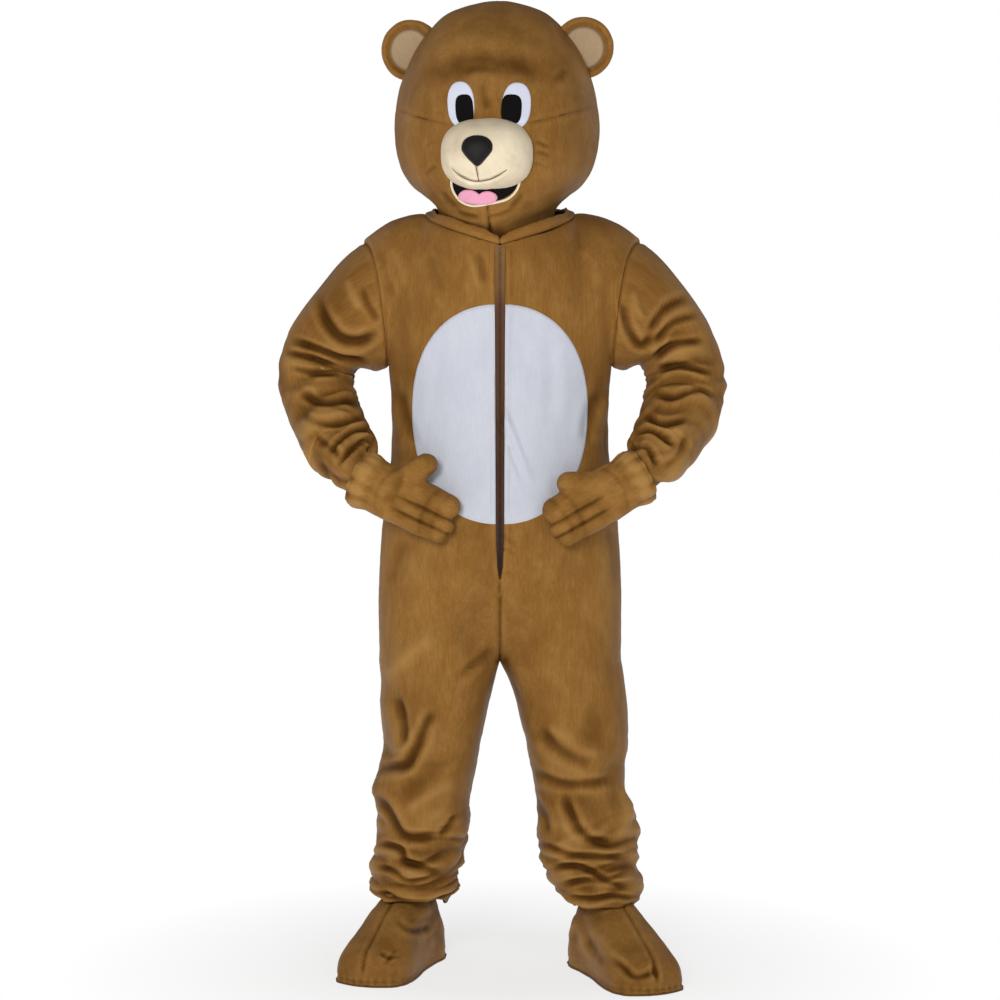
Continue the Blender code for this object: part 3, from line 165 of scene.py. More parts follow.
# Largest folds. at: height on the suit, distance down a sleeve. around: 0 to 1 round the piece,
# from the inner or front middle line over the front. tilt: degrees from the ring round the limb.
Fold = namedtuple("Fold", "at around tilt length width depth")
SUIT_FOLDS = {
    "left": (
        Fold(0.475, 0.30, 55, 0.16, 0.026, -0.009),
        Fold(0.395, 0.36, 30, 0.13, 0.020, -0.011),
        Fold(0.350, 0.22, -32, 0.16, 0.020, -0.011),
        Fold(0.315, 0.42, 10, 0.13, 0.016, 0.009),
        Fold(0.285, 0.20, -20, 0.13, 0.015, 0.008),
        Fold(0.262, 0.33, 8, 0.22, 0.012, -0.012),
        Fold(0.236, 0.22, -6, 0.24, 0.011, 0.008),
        Fold(0.212, 0.30, 5, 0.26, 0.010, -0.011),
        Fold(0.188, 0.36, -4, 0.24, 0.010, 0.008),
        Fold(0.166, 0.24, 6, 0.25, 0.010, -0.010),
        Fold(0.146, 0.34, -7, 0.20, 0.010, 0.006),
        Fold(0.300, 0.72, 14, 0.20, 0.018, -0.010),
        Fold(0.262, 0.80, -10, 0.20, 0.014, 0.009),
        Fold(0.228, 0.70, 8, 0.24, 0.012, -0.010),
        Fold(0.195, 0.78, -6, 0.22, 0.011, 0.008),
        Fold(0.160, 0.70, 5, 0.22, 0.011, -0.009),
        Fold(1.020, 0.44, 74, 0.16, 0.020, -0.009),
        Fold(0.960, 0.62, 20, 0.16, 0.022, -0.007),
    ),
    "right": (
        Fold(0.500, 0.34, 48, 0.16, 0.026, -0.010),
        Fold(0.420, 0.42, 20, 0.12, 0.019, -0.010),
        Fold(0.372, 0.26, -34, 0.18, 0.021, -0.012),
        Fold(0.345, 0.45, 10, 0.12, 0.016, 0.009),
        Fold(0.305, 0.22, -30, 0.18, 0.017, 0.009),
        Fold(0.272, 0.36, 24, 0.20, 0.013, -0.012),
        Fold(0.244, 0.42, 5, 0.18, 0.012, 0.008),
        Fold(0.220, 0.24, -12, 0.24, 0.010, -0.011),
        Fold(0.194, 0.34, 10, 0.22, 0.010, 0.008),
        Fold(0.168, 0.22, -8, 0.24, 0.010, -0.010),
        Fold(0.146, 0.36, 6, 0.20, 0.010, 0.006),
        Fold(0.315, 0.74, -14, 0.20, 0.018, -0.010),
        Fold(0.276, 0.66, 10, 0.20, 0.014, 0.009),
        Fold(0.238, 0.78, -8, 0.24, 0.012, -0.010),
        Fold(0.202, 0.70, 6, 0.22, 0.011, 0.008),
        Fold(0.165, 0.78, -5, 0.22, 0.011, -0.009),
        Fold(1.010, 0.45, 80, 0.14, 0.018, -0.007),
        Fold(0.940, 0.64, -18, 0.16, 0.022, -0.007),
    ),
}
SLEEVE_FOLDS = {
    "left": (
        Fold(0.105, 0.26, 38, 0.14, 0.018, -0.009),
        Fold(0.140, 0.24, 18, 0.14, 0.014, 0.008),
        Fold(0.172, 0.25, 6, 0.18, 0.013, -0.010),
        Fold(0.207, 0.22, -4, 0.16, 0.014, 0.007),
        Fold(0.243, 0.20, -14, 0.17, 0.014, -0.009),
        Fold(0.280, 0.28, -24, 0.16, 0.015, 0.007),
        Fold(0.315, 0.22, -24, 0.17, 0.013, -0.009),
        Fold(0.348, 0.34, -14, 0.14, 0.012, 0.006),
        Fold(0.150, 0.76, 10, 0.16, 0.017, -0.009),
        Fold(0.200, 0.70, -8, 0.16, 0.016, 0.007),
        Fold(0.250, 0.74, -12, 0.16, 0.016, -0.008),
        Fold(0.325, 0.78, 10, 0.14, 0.014, -0.007),
    ),
    "right": (
        Fold(0.100, 0.20, 20, 0.12, 0.018, 0.007),
        Fold(0.142, 0.26, -16, 0.18, 0.014, -0.012),
        Fold(0.176, 0.32, -6, 0.16, 0.013, 0.008),
        Fold(0.205, 0.24, 8, 0.16, 0.013, -0.009),
        Fold(0.240, 0.30, 12, 0.16, 0.014, 0.006),
        Fold(0.275, 0.26, 16, 0.17, 0.014, -0.010),
        Fold(0.312, 0.34, 14, 0.15, 0.013, 0.007),
        Fold(0.345, 0.22, 20, 0.15, 0.012, -0.008),
        Fold(0.150, 0.74, -10, 0.16, 0.017, -0.009),
        Fold(0.200, 0.80, 8, 0.16, 0.016, 0.007),
        Fold(0.250, 0.76, 12, 0.16, 0.016, -0.008),
        Fold(0.325, 0.72, -10, 0.14, 0.014, -0.007),
    ),
}

# Collar: how far it stands up from the neckline and leans in, round from the front to the back
Stand = namedtuple("Stand", "share rise lean")
COLLAR = (
    Stand(0.00, 0.018, 0.000),
    Stand(0.25, 0.021, 0.000),
    Stand(0.50, 0.017, 0.003),
    Stand(1.00, 0.016, 0.006),
)
COLLAR_WALL, COLLAR_OPENING = 0.0050, 0.0010

# Zip strip and belly oval, seen from the front
Strip = namedtuple("Strip", "height half_width")
ZIP = (
    Strip(1.3755, 0.0100),
    Strip(1.090, 0.0085),
    Strip(0.830, 0.0075),
    Strip(0.785, 0.0060),
    Strip(0.763, 0.0015),
)
BELLY_CENTRE, BELLY_HALF_WIDTH = 1.080, 0.1655
BELLY_RISE, BELLY_DROP, BELLY_ROUNDNESS = 0.196, 0.2145, 2.25

# Rings of the padded head. A ring may dip towards the front, as the cheek seam and the chin do.
Ring = namedtuple("Ring", "side_height front_height back_height half_width front back")
HEAD = (
    Ring(1.865, 1.865, 1.865, 0.000, 0.002, 0.002),
    Ring(1.856, 1.855, 1.856, 0.045, -0.044, 0.049),
    Ring(1.837, 1.830, 1.837, 0.096, -0.090, 0.098),
    Ring(1.806, 1.790, 1.805, 0.130, -0.128, 0.136),
    Ring(1.770, 1.743, 1.765, 0.155, -0.158, 0.165),
    Ring(1.732, 1.693, 1.720, 0.174, -0.181, 0.187),
    Ring(1.694, 1.645, 1.670, 0.187, -0.194, 0.200),
    Ring(1.655, 1.600, 1.622, 0.194, -0.200, 0.205),
    Ring(1.615, 1.565, 1.583, 0.197, -0.203, 0.201),
    Ring(1.575, 1.530, 1.552, 0.193, -0.202, 0.190),
    Ring(1.540, 1.495, 1.528, 0.182, -0.196, 0.174),
    Ring(1.510, 1.462, 1.510, 0.162, -0.183, 0.156),
    Ring(1.492, 1.437, 1.498, 0.1386, -0.1606, 0.137),
    Ring(1.468, 1.409, 1.476, 0.1146, -0.1286, 0.115),
    Ring(1.435, 1.374, 1.447, 0.108, -0.113, 0.107),
)
HEAD_CENTRE_X, HEAD_YAW = -0.006, math.radians(-5.5)
CHEEK_SEAM_RING = 7

# Things on the face, seen from the front in the head's own frame: middle and half sizes
Feature = namedtuple("Feature", "x height half_width half_height roundness")
MUZZLE = Feature(0.000, 1.550, 0.0860, 0.0665, 2.5)
NOSE = Feature(-0.010, 1.5485, 0.0280, 0.0280, 2.0)
LIP_WIDTH, LIP_THICKNESS = 0.0040, 0.0040
MUZZLE_BASE, MUZZLE_DEPTH = -0.182, 0.088
NOSE_DEPTH, NOSE_TAPER = 0.018, 0.55

# Ears, in the head's own frame
EAR = Corner(0.166, 0.000, 1.772)
EAR_RADIUS, EAR_TURN, EAR_LEAN = 0.0600, math.radians(12), math.radians(24)
EAR_INNER_SHARE, EAR_SPACES = 0.66, 18
Profile = namedtuple("Profile", "radius_share depth")
EAR_PROFILE = (
    Profile(0.00, -0.0020),
    Profile(0.40, -0.0030),
    Profile(0.66, -0.0070),
    Profile(0.82, -0.0130),
    Profile(0.94, -0.0110),
    Profile(1.00, -0.0020),
    Profile(0.95, 0.0090),
    Profile(0.75, 0.0155),
    Profile(0.40, 0.0180),
    Profile(0.00, 0.0185),
)

# Gloves: sections from the cuff to the finger tips. groove: how deep the finger channels cut.
Palm = namedtuple("Palm", "along half_width half_depth groove")
FINGERS, PALM_SPACES, PALM_CURL, TIP_NOTCH = 3, 16, 0.9, 0.020
Hand = namedtuple("Hand", "x y height axis across thumb_axis thumb_length")
HANDS = {
    "left": Hand(
        0.242, -0.162, 0.946, axis=(-0.84, -0.30, -0.47), across=(-0.50, 0.00, 0.86),
        thumb_axis=(-0.95, -0.30, 0.10), thumb_length=0.060,
    ),
    "right": Hand(
        -0.241, -0.162, 0.942, axis=(0.87, -0.30, -0.40), across=(0.42, 0.00, 0.90),
        thumb_axis=(0.78, -0.26, 0.57), thumb_length=0.062,
    ),
}
THUMB_ALONG, THUMB_ACROSS, THUMB_RADIUS = 0.050, 0.026, 0.0225

# Boot covers: half sections from heel to toe, in the boot's own frame with the toe towards -Y
Foot = namedtuple("Foot", "along half_width top")
FOOT = (
    Foot(0.096, 0.0220, 0.0603),
    Foot(0.088, 0.0400, 0.0888),
    Foot(0.060, 0.0580, 0.1328),
    Foot(0.000, 0.0600, 0.1569),
    Foot(-0.060, 0.0620, 0.1369),
    Foot(-0.108, 0.0690, 0.1126),
    Foot(-0.153, 0.0715, 0.0865),
    Foot(-0.185, 0.0650, 0.0690),
    Foot(-0.206, 0.0460, 0.0520),
    Foot(-0.214, 0.0230, 0.0360),
)
Boot = namedtuple("Boot", "x y turn")
BOOTS = {"left": Boot(0.2104, -0.050, math.radians(22)), "right": Boot(-0.1837, 0.0140, math.radians(-20))}
SOLE, SOLE_MARGIN, BOOT_WALL = 0.004, 0.002, 0.003
ANKLE_HALF_WIDTH, ANKLE_HALF_LENGTH, ANKLE_BACK = 0.044, 0.052, 0.018
BOOT_ROUNDNESS, BOOT_ARC_SPACES = 2.5, 7


def read_table(table, positions):
    """Smooth values between a table's rows, whose first column is the position."""
    rows = np.array(table, dtype=float)
    if rows[0, 0] > rows[-1, 0]:
        rows = rows[::-1]
    keys = rows[:, 0]
    slopes = np.gradient(rows, keys, axis=0)
    places = np.clip(np.asarray(positions, dtype=float), keys[0], keys[-1])
    low = np.clip(np.searchsorted(keys, places) - 1, 0, len(keys) - 2)
    span = (keys[low + 1] - keys[low])[:, None]
    t = (places - keys[low])[:, None] / span
    ease = t * t * (3 - 2 * t)
    lead = t * (1 - t) ** 2 * span * slopes[low] - t * t * (1 - t) * span * slopes[low + 1]
    return rows[low] * (1 - ease) + rows[low + 1] * ease + lead


def signed_power(value, power):
    """A power that keeps the sign, for rounded-square curves."""
    return np.sign(value) * np.abs(value) ** power


# The suit's panels, as grids of points from the top to the hem and from the middle to the side

def trunk_rows(face, heights, across):
    """Quarter rings of the trunk, from the middle line round to the side."""
    rows = read_table(TRUNK, heights)
    reach = rows[:, 2] if face == "front" else rows[:, 3]
    angle = across * math.pi / 2
    power = 2 / TRUNK_ROUNDNESS
    x = rows[:, 1][:, None] * np.sin(angle) ** power
    y = reach[:, None] * np.clip(np.cos(angle), 0, 1) ** power
    z = np.repeat(np.asarray(heights)[:, None], len(across), axis=1)
    return np.stack([x, y, z], axis=2)


def leg_rows(side, face, heights, across):
    """Half rings of a leg, from the inside seam round to the outside seam."""
    rows = read_table(LEGS[side], heights)
    inner, outer, front, back = (rows[:, k][:, None] for k in range(1, 5))
    angle = (across - 0.5) * math.pi
    power = 2 / LEG_ROUNDNESS
    bulge = np.clip(np.cos(angle), 0, 1) ** power
    x = (inner + outer) / 2 + (outer - inner) / 2 * signed_power(np.sin(angle), power)
    half_depth = (back - front) / 2
    y = (front + back) / 2 + half_depth * bulge * (-1 if face == "front" else 1)
    z = np.repeat(np.asarray(heights)[:, None], len(across), axis=1)
    if face == "front":
        near_hem = np.clip((0.30 - z) / (0.30 - HEM_HEIGHT), 0, 1)
        z = z + HEM_LIFT * near_hem ** 2 * bulge
    return np.stack([x, y, z], axis=2)


def neck_and_shoulder(side, face, across):
    """The top edge of a front or back: half the neckline, then the shoulder seam."""
    middle, corner, tip = NECK[face], NECK["side"], SHOULDER[side]
    turn = np.clip(across / NECK_SHARE, 0, 1)
    slide = np.clip((across - NECK_SHARE) / (1 - NECK_SHARE), 0, 1)
    x = corner.x * np.sin(turn * math.pi / 2) + (tip.x - corner.x) * slide
    y = middle.y * np.cos(turn * math.pi / 2) + corner.y * turn + (tip.y - corner.y) * slide
    z = middle.height + (corner.height - middle.height) * turn + (tip.height - corner.height) * slide
    z = z + SHOULDER_CURVE * np.clip(np.sin(math.pi * slide), 0, 1) ** 0.8
    return np.stack([x, y, z], axis=1)


def yoke_rows(side, face, across):
    """From the chest up over the shoulder; the last column is the armhole."""
    chest = trunk_rows(face, [CHEST_HEIGHT], across)[0]
    top = neck_and_shoulder(side, face, across)
    rise = np.linspace(1, 0, YOKE_SPACES + 1)[:, None]
    arc = rise * math.pi / 2
    armhole = (across ** 4)[None, :]
    lift = (1 - armhole) * np.sin(arc) ** 0.85 + armhole * (1 - np.cos(math.pi * rise)) / 2
    x = chest[:, 0] + (top[:, 0] - chest[:, 0]) * rise ** (1 + 1.3 * across[None, :] ** 2)
    y = top[:, 1] + (chest[:, 1] - top[:, 1]) * np.clip(np.cos(arc), 0, 1) ** 0.85
    z = chest[:, 2] + (top[:, 2] - chest[:, 2]) * lift
    swell = ARMHOLE_SWELL * (across ** 3)[None, :] * np.clip(np.sin(math.pi * rise), 0, 1)
    y = y + swell * (-1 if face == "front" else 1)
    return np.stack([x, y, z], axis=2)


def panel_grid(side, face):
    """One front or back in one piece from shoulder to ankle."""
    across = panel_columns()
    yoke = yoke_rows(side, face, across)
    body_heights = np.linspace(CHEST_HEIGHT, HIP_HEIGHT, BODY_SPACES + 1)[1:]
    body = trunk_rows(face, body_heights, across)
    turn = np.linspace(0, math.pi / 2, SEAT_SPACES + 1)[1:]
    seat_heights = HIP_HEIGHT + (CROTCH_HEIGHT - HIP_HEIGHT) * np.sin(turn)
    drop = np.sin(turn)[:, None, None]
    slow = np.clip(across * 2.5, 0, 1)[None, :, None]
    merge = (1 - np.cos(turn))[:, None, None] * (1 - slow) + drop * drop * (3 - 2 * drop) * slow
    thigh_top = leg_rows(side, face, [CROTCH_HEIGHT], across) * (1, 1, 0)
    seat = trunk_rows(face, seat_heights, across)
    seat = seat * (1 - merge * (1, 1, 0)) + thigh_top * merge
    thigh_heights = np.linspace(CROTCH_HEIGHT, KNEE_HEIGHT, THIGH_SPACES + 1)[1:]
    shin_heights = np.linspace(KNEE_HEIGHT, HEM_HEIGHT, SHIN_SPACES + 1)[1:]
    leg = leg_rows(side, face, np.concatenate([thigh_heights, shin_heights]), across)
    grid = np.concatenate([yoke, body, seat, leg])
    grid[:, :, 0] *= SIDES[side]
    around = np.repeat((across / 2 if face == "front" else 1 - across / 2)[None, :], len(grid), axis=0)
    return grid, around


def girth_of(grids):
    """The distance round the rings that the grids' rows make together."""
    steps = [np.linalg.norm(np.diff(grid, axis=1), axis=2).sum(axis=1) for grid in grids]
    return np.sum(steps, axis=0)[:, None]


def fold_depth(folds, at, around, girth):
    """How far the folds move each point out of the plain form."""
    depth = np.zeros(np.broadcast(at, around).shape)
    for fold in folds:
        sideways = ((around - fold.around + 0.5) % 1 - 0.5) * girth
        tilt = math.radians(fold.tilt)
        along = sideways * math.cos(tilt) + (at - fold.at) * math.sin(tilt)
        over = -sideways * math.sin(tilt) + (at - fold.at) * math.cos(tilt)
        reach = np.clip(np.abs(along) / (fold.length / 2), 0, 1)
        depth += fold.depth * np.exp(-(over / fold.width) ** 2) * np.cos(reach * math.pi / 2) ** 2
    return depth


def sleeve_grid(side, armhole):
    """Rings from the armhole to the wrist, blended from the armhole's loop into ovals."""
    middle = len(armhole) // 2
    reach = ARMS[side][-1].along
    along = reach * np.linspace(0, 1, SLEEVE_SPACES + 1) ** 0.95
    rows = read_table(ARMS[side], along)
    sign = SIDES[side]
    centres = rows[:, 1:4] * np.array([sign, 1, 1])
    tangents = np.gradient(centres, along, axis=0)
    tangents /= np.linalg.norm(tangents, axis=1)[:, None]
    outward = armhole[middle] - armhole[0]
    rings = []
    for k, tangent in enumerate(tangents):
        outward = outward - tangent * outward.dot(tangent)
        outward = outward / np.linalg.norm(outward)
        forward = np.cross(tangent, outward) * sign
        angle = np.arange(len(armhole)) / len(armhole) * 2 * math.pi
        ring = centres[k] - rows[k, 4] * np.cos(angle)[:, None] * outward
        ring = ring + rows[k, 5] * np.sin(angle)[:, None] * forward
        blend = min(along[k] / 0.115, 1.0)
        blend = blend * blend * (3 - 2 * blend)
        carried = armhole + centres[k] - centres[0]
        rings.append(carried * (1 - blend) + ring * blend)
    around = np.arange(len(armhole)) / len(armhole)
    return np.array(rings), along[:, None], around[None, :]


def panel_columns():
    """Columns of a panel from the middle to the side, a little closer together at its seams."""
    even = np.linspace(0, 1, PANEL_SPACES + 1)
    return even - 0.05 * np.sin(2 * math.pi * even)


# Noise, steps and distances

def lattice_noise(points, seed):
    """Smooth uneven values, about -1 to 1, at each of the points."""
    source = np.random.default_rng(seed)
    order = source.permutation(256)
    order = np.concatenate([order, order, order])
    slopes = source.normal(size=(256, 3))
    slopes /= np.linalg.norm(slopes, axis=1)[:, None]
    cell = np.floor(points).astype(int)
    part = points - cell
    fade = part ** 3 * (part * (part * 6 - 15) + 10)
    cell &= 255
    total = np.zeros(len(points))
    for dx in (0, 1):
        first = order[(cell[:, 0] + dx) & 255] + cell[:, 1]
        for dy in (0, 1):
            second = order[(first + dy) & 255] + cell[:, 2]
            for dz in (0, 1):
                slope = slopes[order[(second + dz) & 255]]
                corner = np.array((dx, dy, dz))
                weight = np.prod(np.where(corner, fade, 1 - fade), axis=1)
                total += weight * np.einsum("ij,ij->i", slope, part - corner)
    return total * 1.7


def step(low, high, value):
    """0 below low and 1 above high, or the other way round, with an even change between."""
    t = np.clip((value - low) / (high - low), 0, 1)
    return t * t * (3 - 2 * t)


def bump_at(value, middle, reach):
    """1 at the middle, falling to nothing at the reach."""
    return np.cos(np.clip(np.abs(value - middle) / reach, 0, 1) * math.pi / 2) ** 2


def smooth_line(points, spaces=6, closed=False):
    """A curve through the points, with this many spaces between each two."""
    points = np.array(points, dtype=float)
    count = len(points)
    if closed:
        padded = np.concatenate([points[-1:], points, points[:2]])
        stretches = count
    else:
        padded = np.concatenate([2 * points[:1] - points[1:2], points, 2 * points[-1:] - points[-2:-1]])
        stretches = count - 1
    t = (np.arange(spaces) / spaces)[:, None]
    line = []
    for k in range(stretches):
        a, b, c, d = padded[k:k + 4]
        line.append(0.5 * (2 * b + (c - a) * t + (2 * a - 5 * b + 4 * c - d) * t ** 2
                           + (3 * b - a - 3 * c + d) * t ** 3))
    if not closed:
        line.append(points[-1:])
    return np.concatenate(line)


# The camera, which also places creases and the face's pieces

CAMERA_PLACE = np.array((0.0, -4.5, -0.327))
CAMERA_TILT = math.radians(2.14)
FOCAL_PIXELS = 2325.6
FRAME_SIDE = 1000


def camera_axes():
    """The camera's directions: right, up and forwards."""
    forwards = np.array((0.0, math.cos(CAMERA_TILT), -math.sin(CAMERA_TILT)))
    right = np.array((1.0, 0.0, 0.0))
    return right, np.cross(right, forwards), forwards


def pixels_of(points):
    """Where points of the model fall in the frame."""
    right, up, forwards = camera_axes()
    away = np.asarray(points) - CAMERA_PLACE
    depth = away @ forwards
    x = FRAME_SIDE / 2 + FOCAL_PIXELS * (away @ right) / depth
    y = FRAME_SIDE / 2 - FOCAL_PIXELS * (away @ up) / depth
    return np.stack([x, y], axis=-1)


def cast(tree, spots):
    """The points and normals where rays through these spots of the frame meet a surface."""
    right, up, forwards = camera_axes()
    places, normals = [], []
    for x, y in spots:
        ray = forwards + right * (x - FRAME_SIDE / 2) / FOCAL_PIXELS - up * (y - FRAME_SIDE / 2) / FOCAL_PIXELS
        place, normal, _, _ = tree.ray_cast(Vector(CAMERA_PLACE), Vector(ray).normalized())
        if place is None:
            place, normal = Vector(places[-1]), Vector(normals[-1])
        places.append(tuple(place))
        normals.append(tuple(normal))
    return np.array(places), np.array(normals)


# Creases, each a line of points in the frame. width and depth are in millimetres; a depth below
# nought is a trough with a soft ridge on each side.
Crease = namedtuple("Crease", "line width depth")
SUIT_CREASES = (
    # chest and waist
    Crease(((392, 243), (398, 262), (405, 288)), 9, 4.0),
    Crease(((380, 246), (384, 268), (392, 300)), 7, -3.0),
    Crease(((466, 248), (471, 264), (480, 292)), 7, 3.5),
    Crease(((477, 250), (481, 266), (485, 284)), 6, -3.0),
    Crease(((585, 243), (593, 265), (600, 292)), 12, 2.5),
    Crease(((430, 250), (434, 275), (442, 294)), 12, -2.0),
    Crease(((603, 387), (590, 413), (584, 444)), 10, -5.0),
    Crease(((612, 392), (603, 418), (598, 448)), 9, 3.5),
    Crease(((398, 387), (405, 413), (417, 449)), 9, -4.0),
    Crease(((391, 395), (396, 420), (404, 452)), 8, 2.5),
    Crease(((497, 398), (515, 440), (533, 487)), 5, 3.6),
    Crease(((494, 408), (509, 447), (526, 489)), 5, -2.4),
    Crease(((548, 330), (552, 380), (547, 430)), 12, -2.0),
    Crease(((440, 340), (436, 390), (440, 440)), 12, -1.6),
    Crease(((499, 533), (508, 539), (519, 547)), 4, -2.8),
    Crease(((500, 549), (508, 550), (517, 554)), 4, -2.4),
    Crease(((499, 570), (506, 572), (513, 578)), 4, -2.0),
    Crease(((497, 585), (498, 610), (498, 648)), 5, -1.6),
    Crease(((410, 533), (398, 560), (388, 585)), 12, -2.5),
    Crease(((606, 520), (612, 548), (616, 590)), 12, -2.5),
    # the wearer's right sleeve
    Crease(((319, 292), (324, 318), (340, 338), (362, 341), (381, 328)), 8, -8.0),
    Crease(((361, 284), (368, 305), (379, 322)), 6, -5.0),
    Crease(((347, 276), (353, 296), (362, 312)), 8, 5.0),
    Crease(((288, 338), (313, 347), (343, 358), (371, 362)), 6, -7.5),
    Crease(((283, 351), (307, 357), (339, 367)), 5, -6.0),
    Crease(((287, 366), (312, 372), (344, 374)), 5, -5.0),
    Crease(((295, 388), (320, 401), (347, 400), (363, 409)), 7, -7.0),
    Crease(((299, 412), (320, 423), (347, 420), (371, 417)), 6, -6.5),
    Crease(((327, 456), (339, 440), (359, 429), (379, 433)), 5, -9.0),
    Crease(((336, 469), (350, 450), (366, 441), (377, 444)), 5, -7.5),
    Crease(((313, 437), (331, 447), (342, 462)), 6, -4.5),
    Crease(((316, 460), (334, 478), (354, 484)), 7, -4.5),
    # the wearer's left sleeve
    Crease(((621, 296), (627, 326), (641, 346), (656, 331)), 7, -7.0),
    Crease(((632, 288), (637, 308), (645, 322)), 7, 4.5),
    Crease(((648, 333), (665, 309), (690, 296)), 7, -7.0),
    Crease(((653, 347), (673, 323), (702, 314)), 6, -6.5),
    Crease(((650, 362), (673, 345), (707, 339)), 6, -8.0),
    Crease(((653, 371), (681, 366), (715, 374)), 6, -6.0),
    Crease(((650, 392), (674, 397), (700, 390), (717, 401)), 6, -7.0),
    Crease(((640, 412), (663, 424), (692, 417)), 6, -7.0),
    Crease(((633, 433), (653, 431), (678, 448)), 5, -9.0),
    Crease(((629, 453), (646, 447), (658, 468)), 5, -7.5),
    Crease(((642, 477), (659, 484), (670, 487)), 5, -5.0),
    Crease(((688, 430), (680, 452), (664, 470)), 6, -4.5),
    # the wearer's right leg
    Crease(((385, 681), (410, 653), (438, 636)), 13, 5.0),
    Crease(((395, 694), (401, 722), (406, 750)), 8, -7.0),
    Crease(((371, 768), (389, 767), (409, 761), (426, 724), (441, 710)), 9, -10.0),
    Crease(((391, 752), (413, 742), (424, 712)), 8, 4.0),
    Crease(((372, 792), (389, 812), (403, 835), (441, 838)), 8, -8.0),
    Crease(((403, 814), (431, 794), (459, 779)), 10, 4.5),
    Crease(((458, 812), (449, 826), (439, 839)), 6, -4.5),
    Crease(((371, 843), (397, 848), (408, 863), (445, 874)), 6, -8.0),
    Crease(((447, 855), (415, 866), (390, 858)), 5, -5.0),
    Crease(((371, 864), (393, 871), (411, 881), (443, 873)), 5, -7.0),
    Crease(((370, 889), (397, 900), (424, 903), (451, 896)), 5, -8.0),
    Crease(((497, 648), (472, 665), (456, 682)), 8, -3.5),
    # the wearer's left leg
    Crease(((536, 726), (562, 752), (599, 768)), 10, -7.0),
    Crease(((546, 722), (583, 747), (604, 756)), 12, 3.5),
    Crease(((529, 767), (563, 784), (618, 780)), 8, -7.0),
    Crease(((560, 792), (583, 833), (618, 848)), 8, -8.0),
    Crease(((619, 779), (627, 813), (619, 843)), 9, 5.0),
    Crease(((530, 793), (546, 819), (545, 836)), 7, -4.5),
    Crease(((536, 842), (570, 854), (603, 856), (632, 857)), 6, -8.0),
    Crease(((546, 870), (577, 866), (607, 878), (632, 870)), 5, -8.0),
    Crease(((560, 884), (597, 880), (632, 888)), 5, -6.0),
    Crease(((560, 898), (590, 900), (617, 896), (638, 901)), 5, -8.0),
    Crease(((499, 650), (512, 680), (520, 705)), 8, -3.0),
)
HEAD_CREASES = (
    Crease(((424, 84), (440, 72), (462, 64), (488, 61), (514, 64), (535, 72), (549, 84)), 17, -2.6),
    Crease(((461, 73), (477, 69), (500, 71)), 7, -1.6),
    Crease(((482, 80), (485, 98), (489, 112)), 8, -2.5),
    Crease(((482, 29), (482, 36)), 2.4, -2.4),
    Crease(((534, 141), (541, 143), (549, 148)), 3, -2.2),
    Crease(((535, 152), (543, 153), (551, 157)), 3, -2.2),
    Crease(((534, 163), (542, 165), (549, 169)), 3, -2.0),
    Crease(((435, 140), (430, 143), (424, 148)), 3, -1.6),
    Crease(((437, 165), (431, 169), (425, 175)), 3.5, -1.8),
    Crease(((455, 211), (466, 216), (480, 218)), 4, -2.5),
    Crease(((486, 217), (500, 215), (514, 209)), 4, -2.2),
    Crease(((441, 191), (448, 200), (457, 208)), 5, -2.4),
    Crease(((523, 192), (518, 201), (510, 208)), 5, -2.4),
    Crease(((566, 68), (560, 76), (551, 82)), 7, -1.8),
)
BOOT_CREASES = (
    Crease(((379, 951), (388, 957), (401, 956)), 4, -3.0),
    Crease(((384, 965), (391, 957), (397, 948)), 4, -2.6),
    Crease(((393, 918), (412, 930), (437, 925)), 6, -3.0),
    Crease(((611, 957), (622, 966), (637, 978), (661, 968)), 6, -4.0),
    Crease(((600, 930), (611, 950), (630, 962)), 7, 2.5),
    Crease(((584, 925), (592, 945), (606, 967)), 7, -2.5),
    Crease(((652, 960), (656, 975), (657, 988)), 4, -2.5),
)


def crease_depth(creases, points, normals, seed=5):
    """How far creases move points along their normals, fading where a surface turns away."""
    spots = pixels_of(points)
    away = points - CAMERA_PLACE
    depth = np.linalg.norm(away, axis=1)
    facing = -np.einsum("ij,ij->i", normals, away) / depth
    seen = step(-0.05, 0.25, facing)
    scale = 1000 * depth / FOCAL_PIXELS
    total = np.zeros(len(points))
    uneven = lattice_noise(points * 21, seed)
    for crease in creases:
        line = smooth_line(crease.line, 5)
        reach = 5 * crease.width / 1.85
        low, high = line.min(axis=0) - reach, line.max(axis=0) + reach
        near = np.flatnonzero(np.all((spots > low) & (spots < high), axis=1) & (seen > 0))
        if len(near) == 0:
            continue
        here = spots[near]
        best = np.full(len(near), 1e9)
        share = np.zeros(len(near))
        lengths = np.linalg.norm(np.diff(line, axis=0), axis=1)
        starts = np.concatenate([[0], np.cumsum(lengths)])
        for k, (a, b) in enumerate(zip(line, line[1:])):
            t = np.clip(((here - a) @ (b - a)) / lengths[k] ** 2, 0, 1)
            gap = np.linalg.norm(here - a - t[:, None] * (b - a), axis=1)
            closer = gap < best
            best = np.where(closer, gap, best)
            share = np.where(closer, (starts[k] + t * lengths[k]) / starts[-1], share)
        width = crease.width * (1 + 0.25 * uneven[near])
        away_from = best * scale[near] / width
        form = np.exp(-away_from ** 2)
        if crease.depth < 0:
            form -= 0.42 * np.exp(-((away_from - 2.0) / 0.85) ** 2)
        ends = np.minimum(step(0, 0.22, share), step(1, 0.78, share))
        total[near] += crease.depth / 1000 * form * ends * seen[near] * (1 + 0.35 * uneven[near])
    return total


# Surfaces made of grids that share points

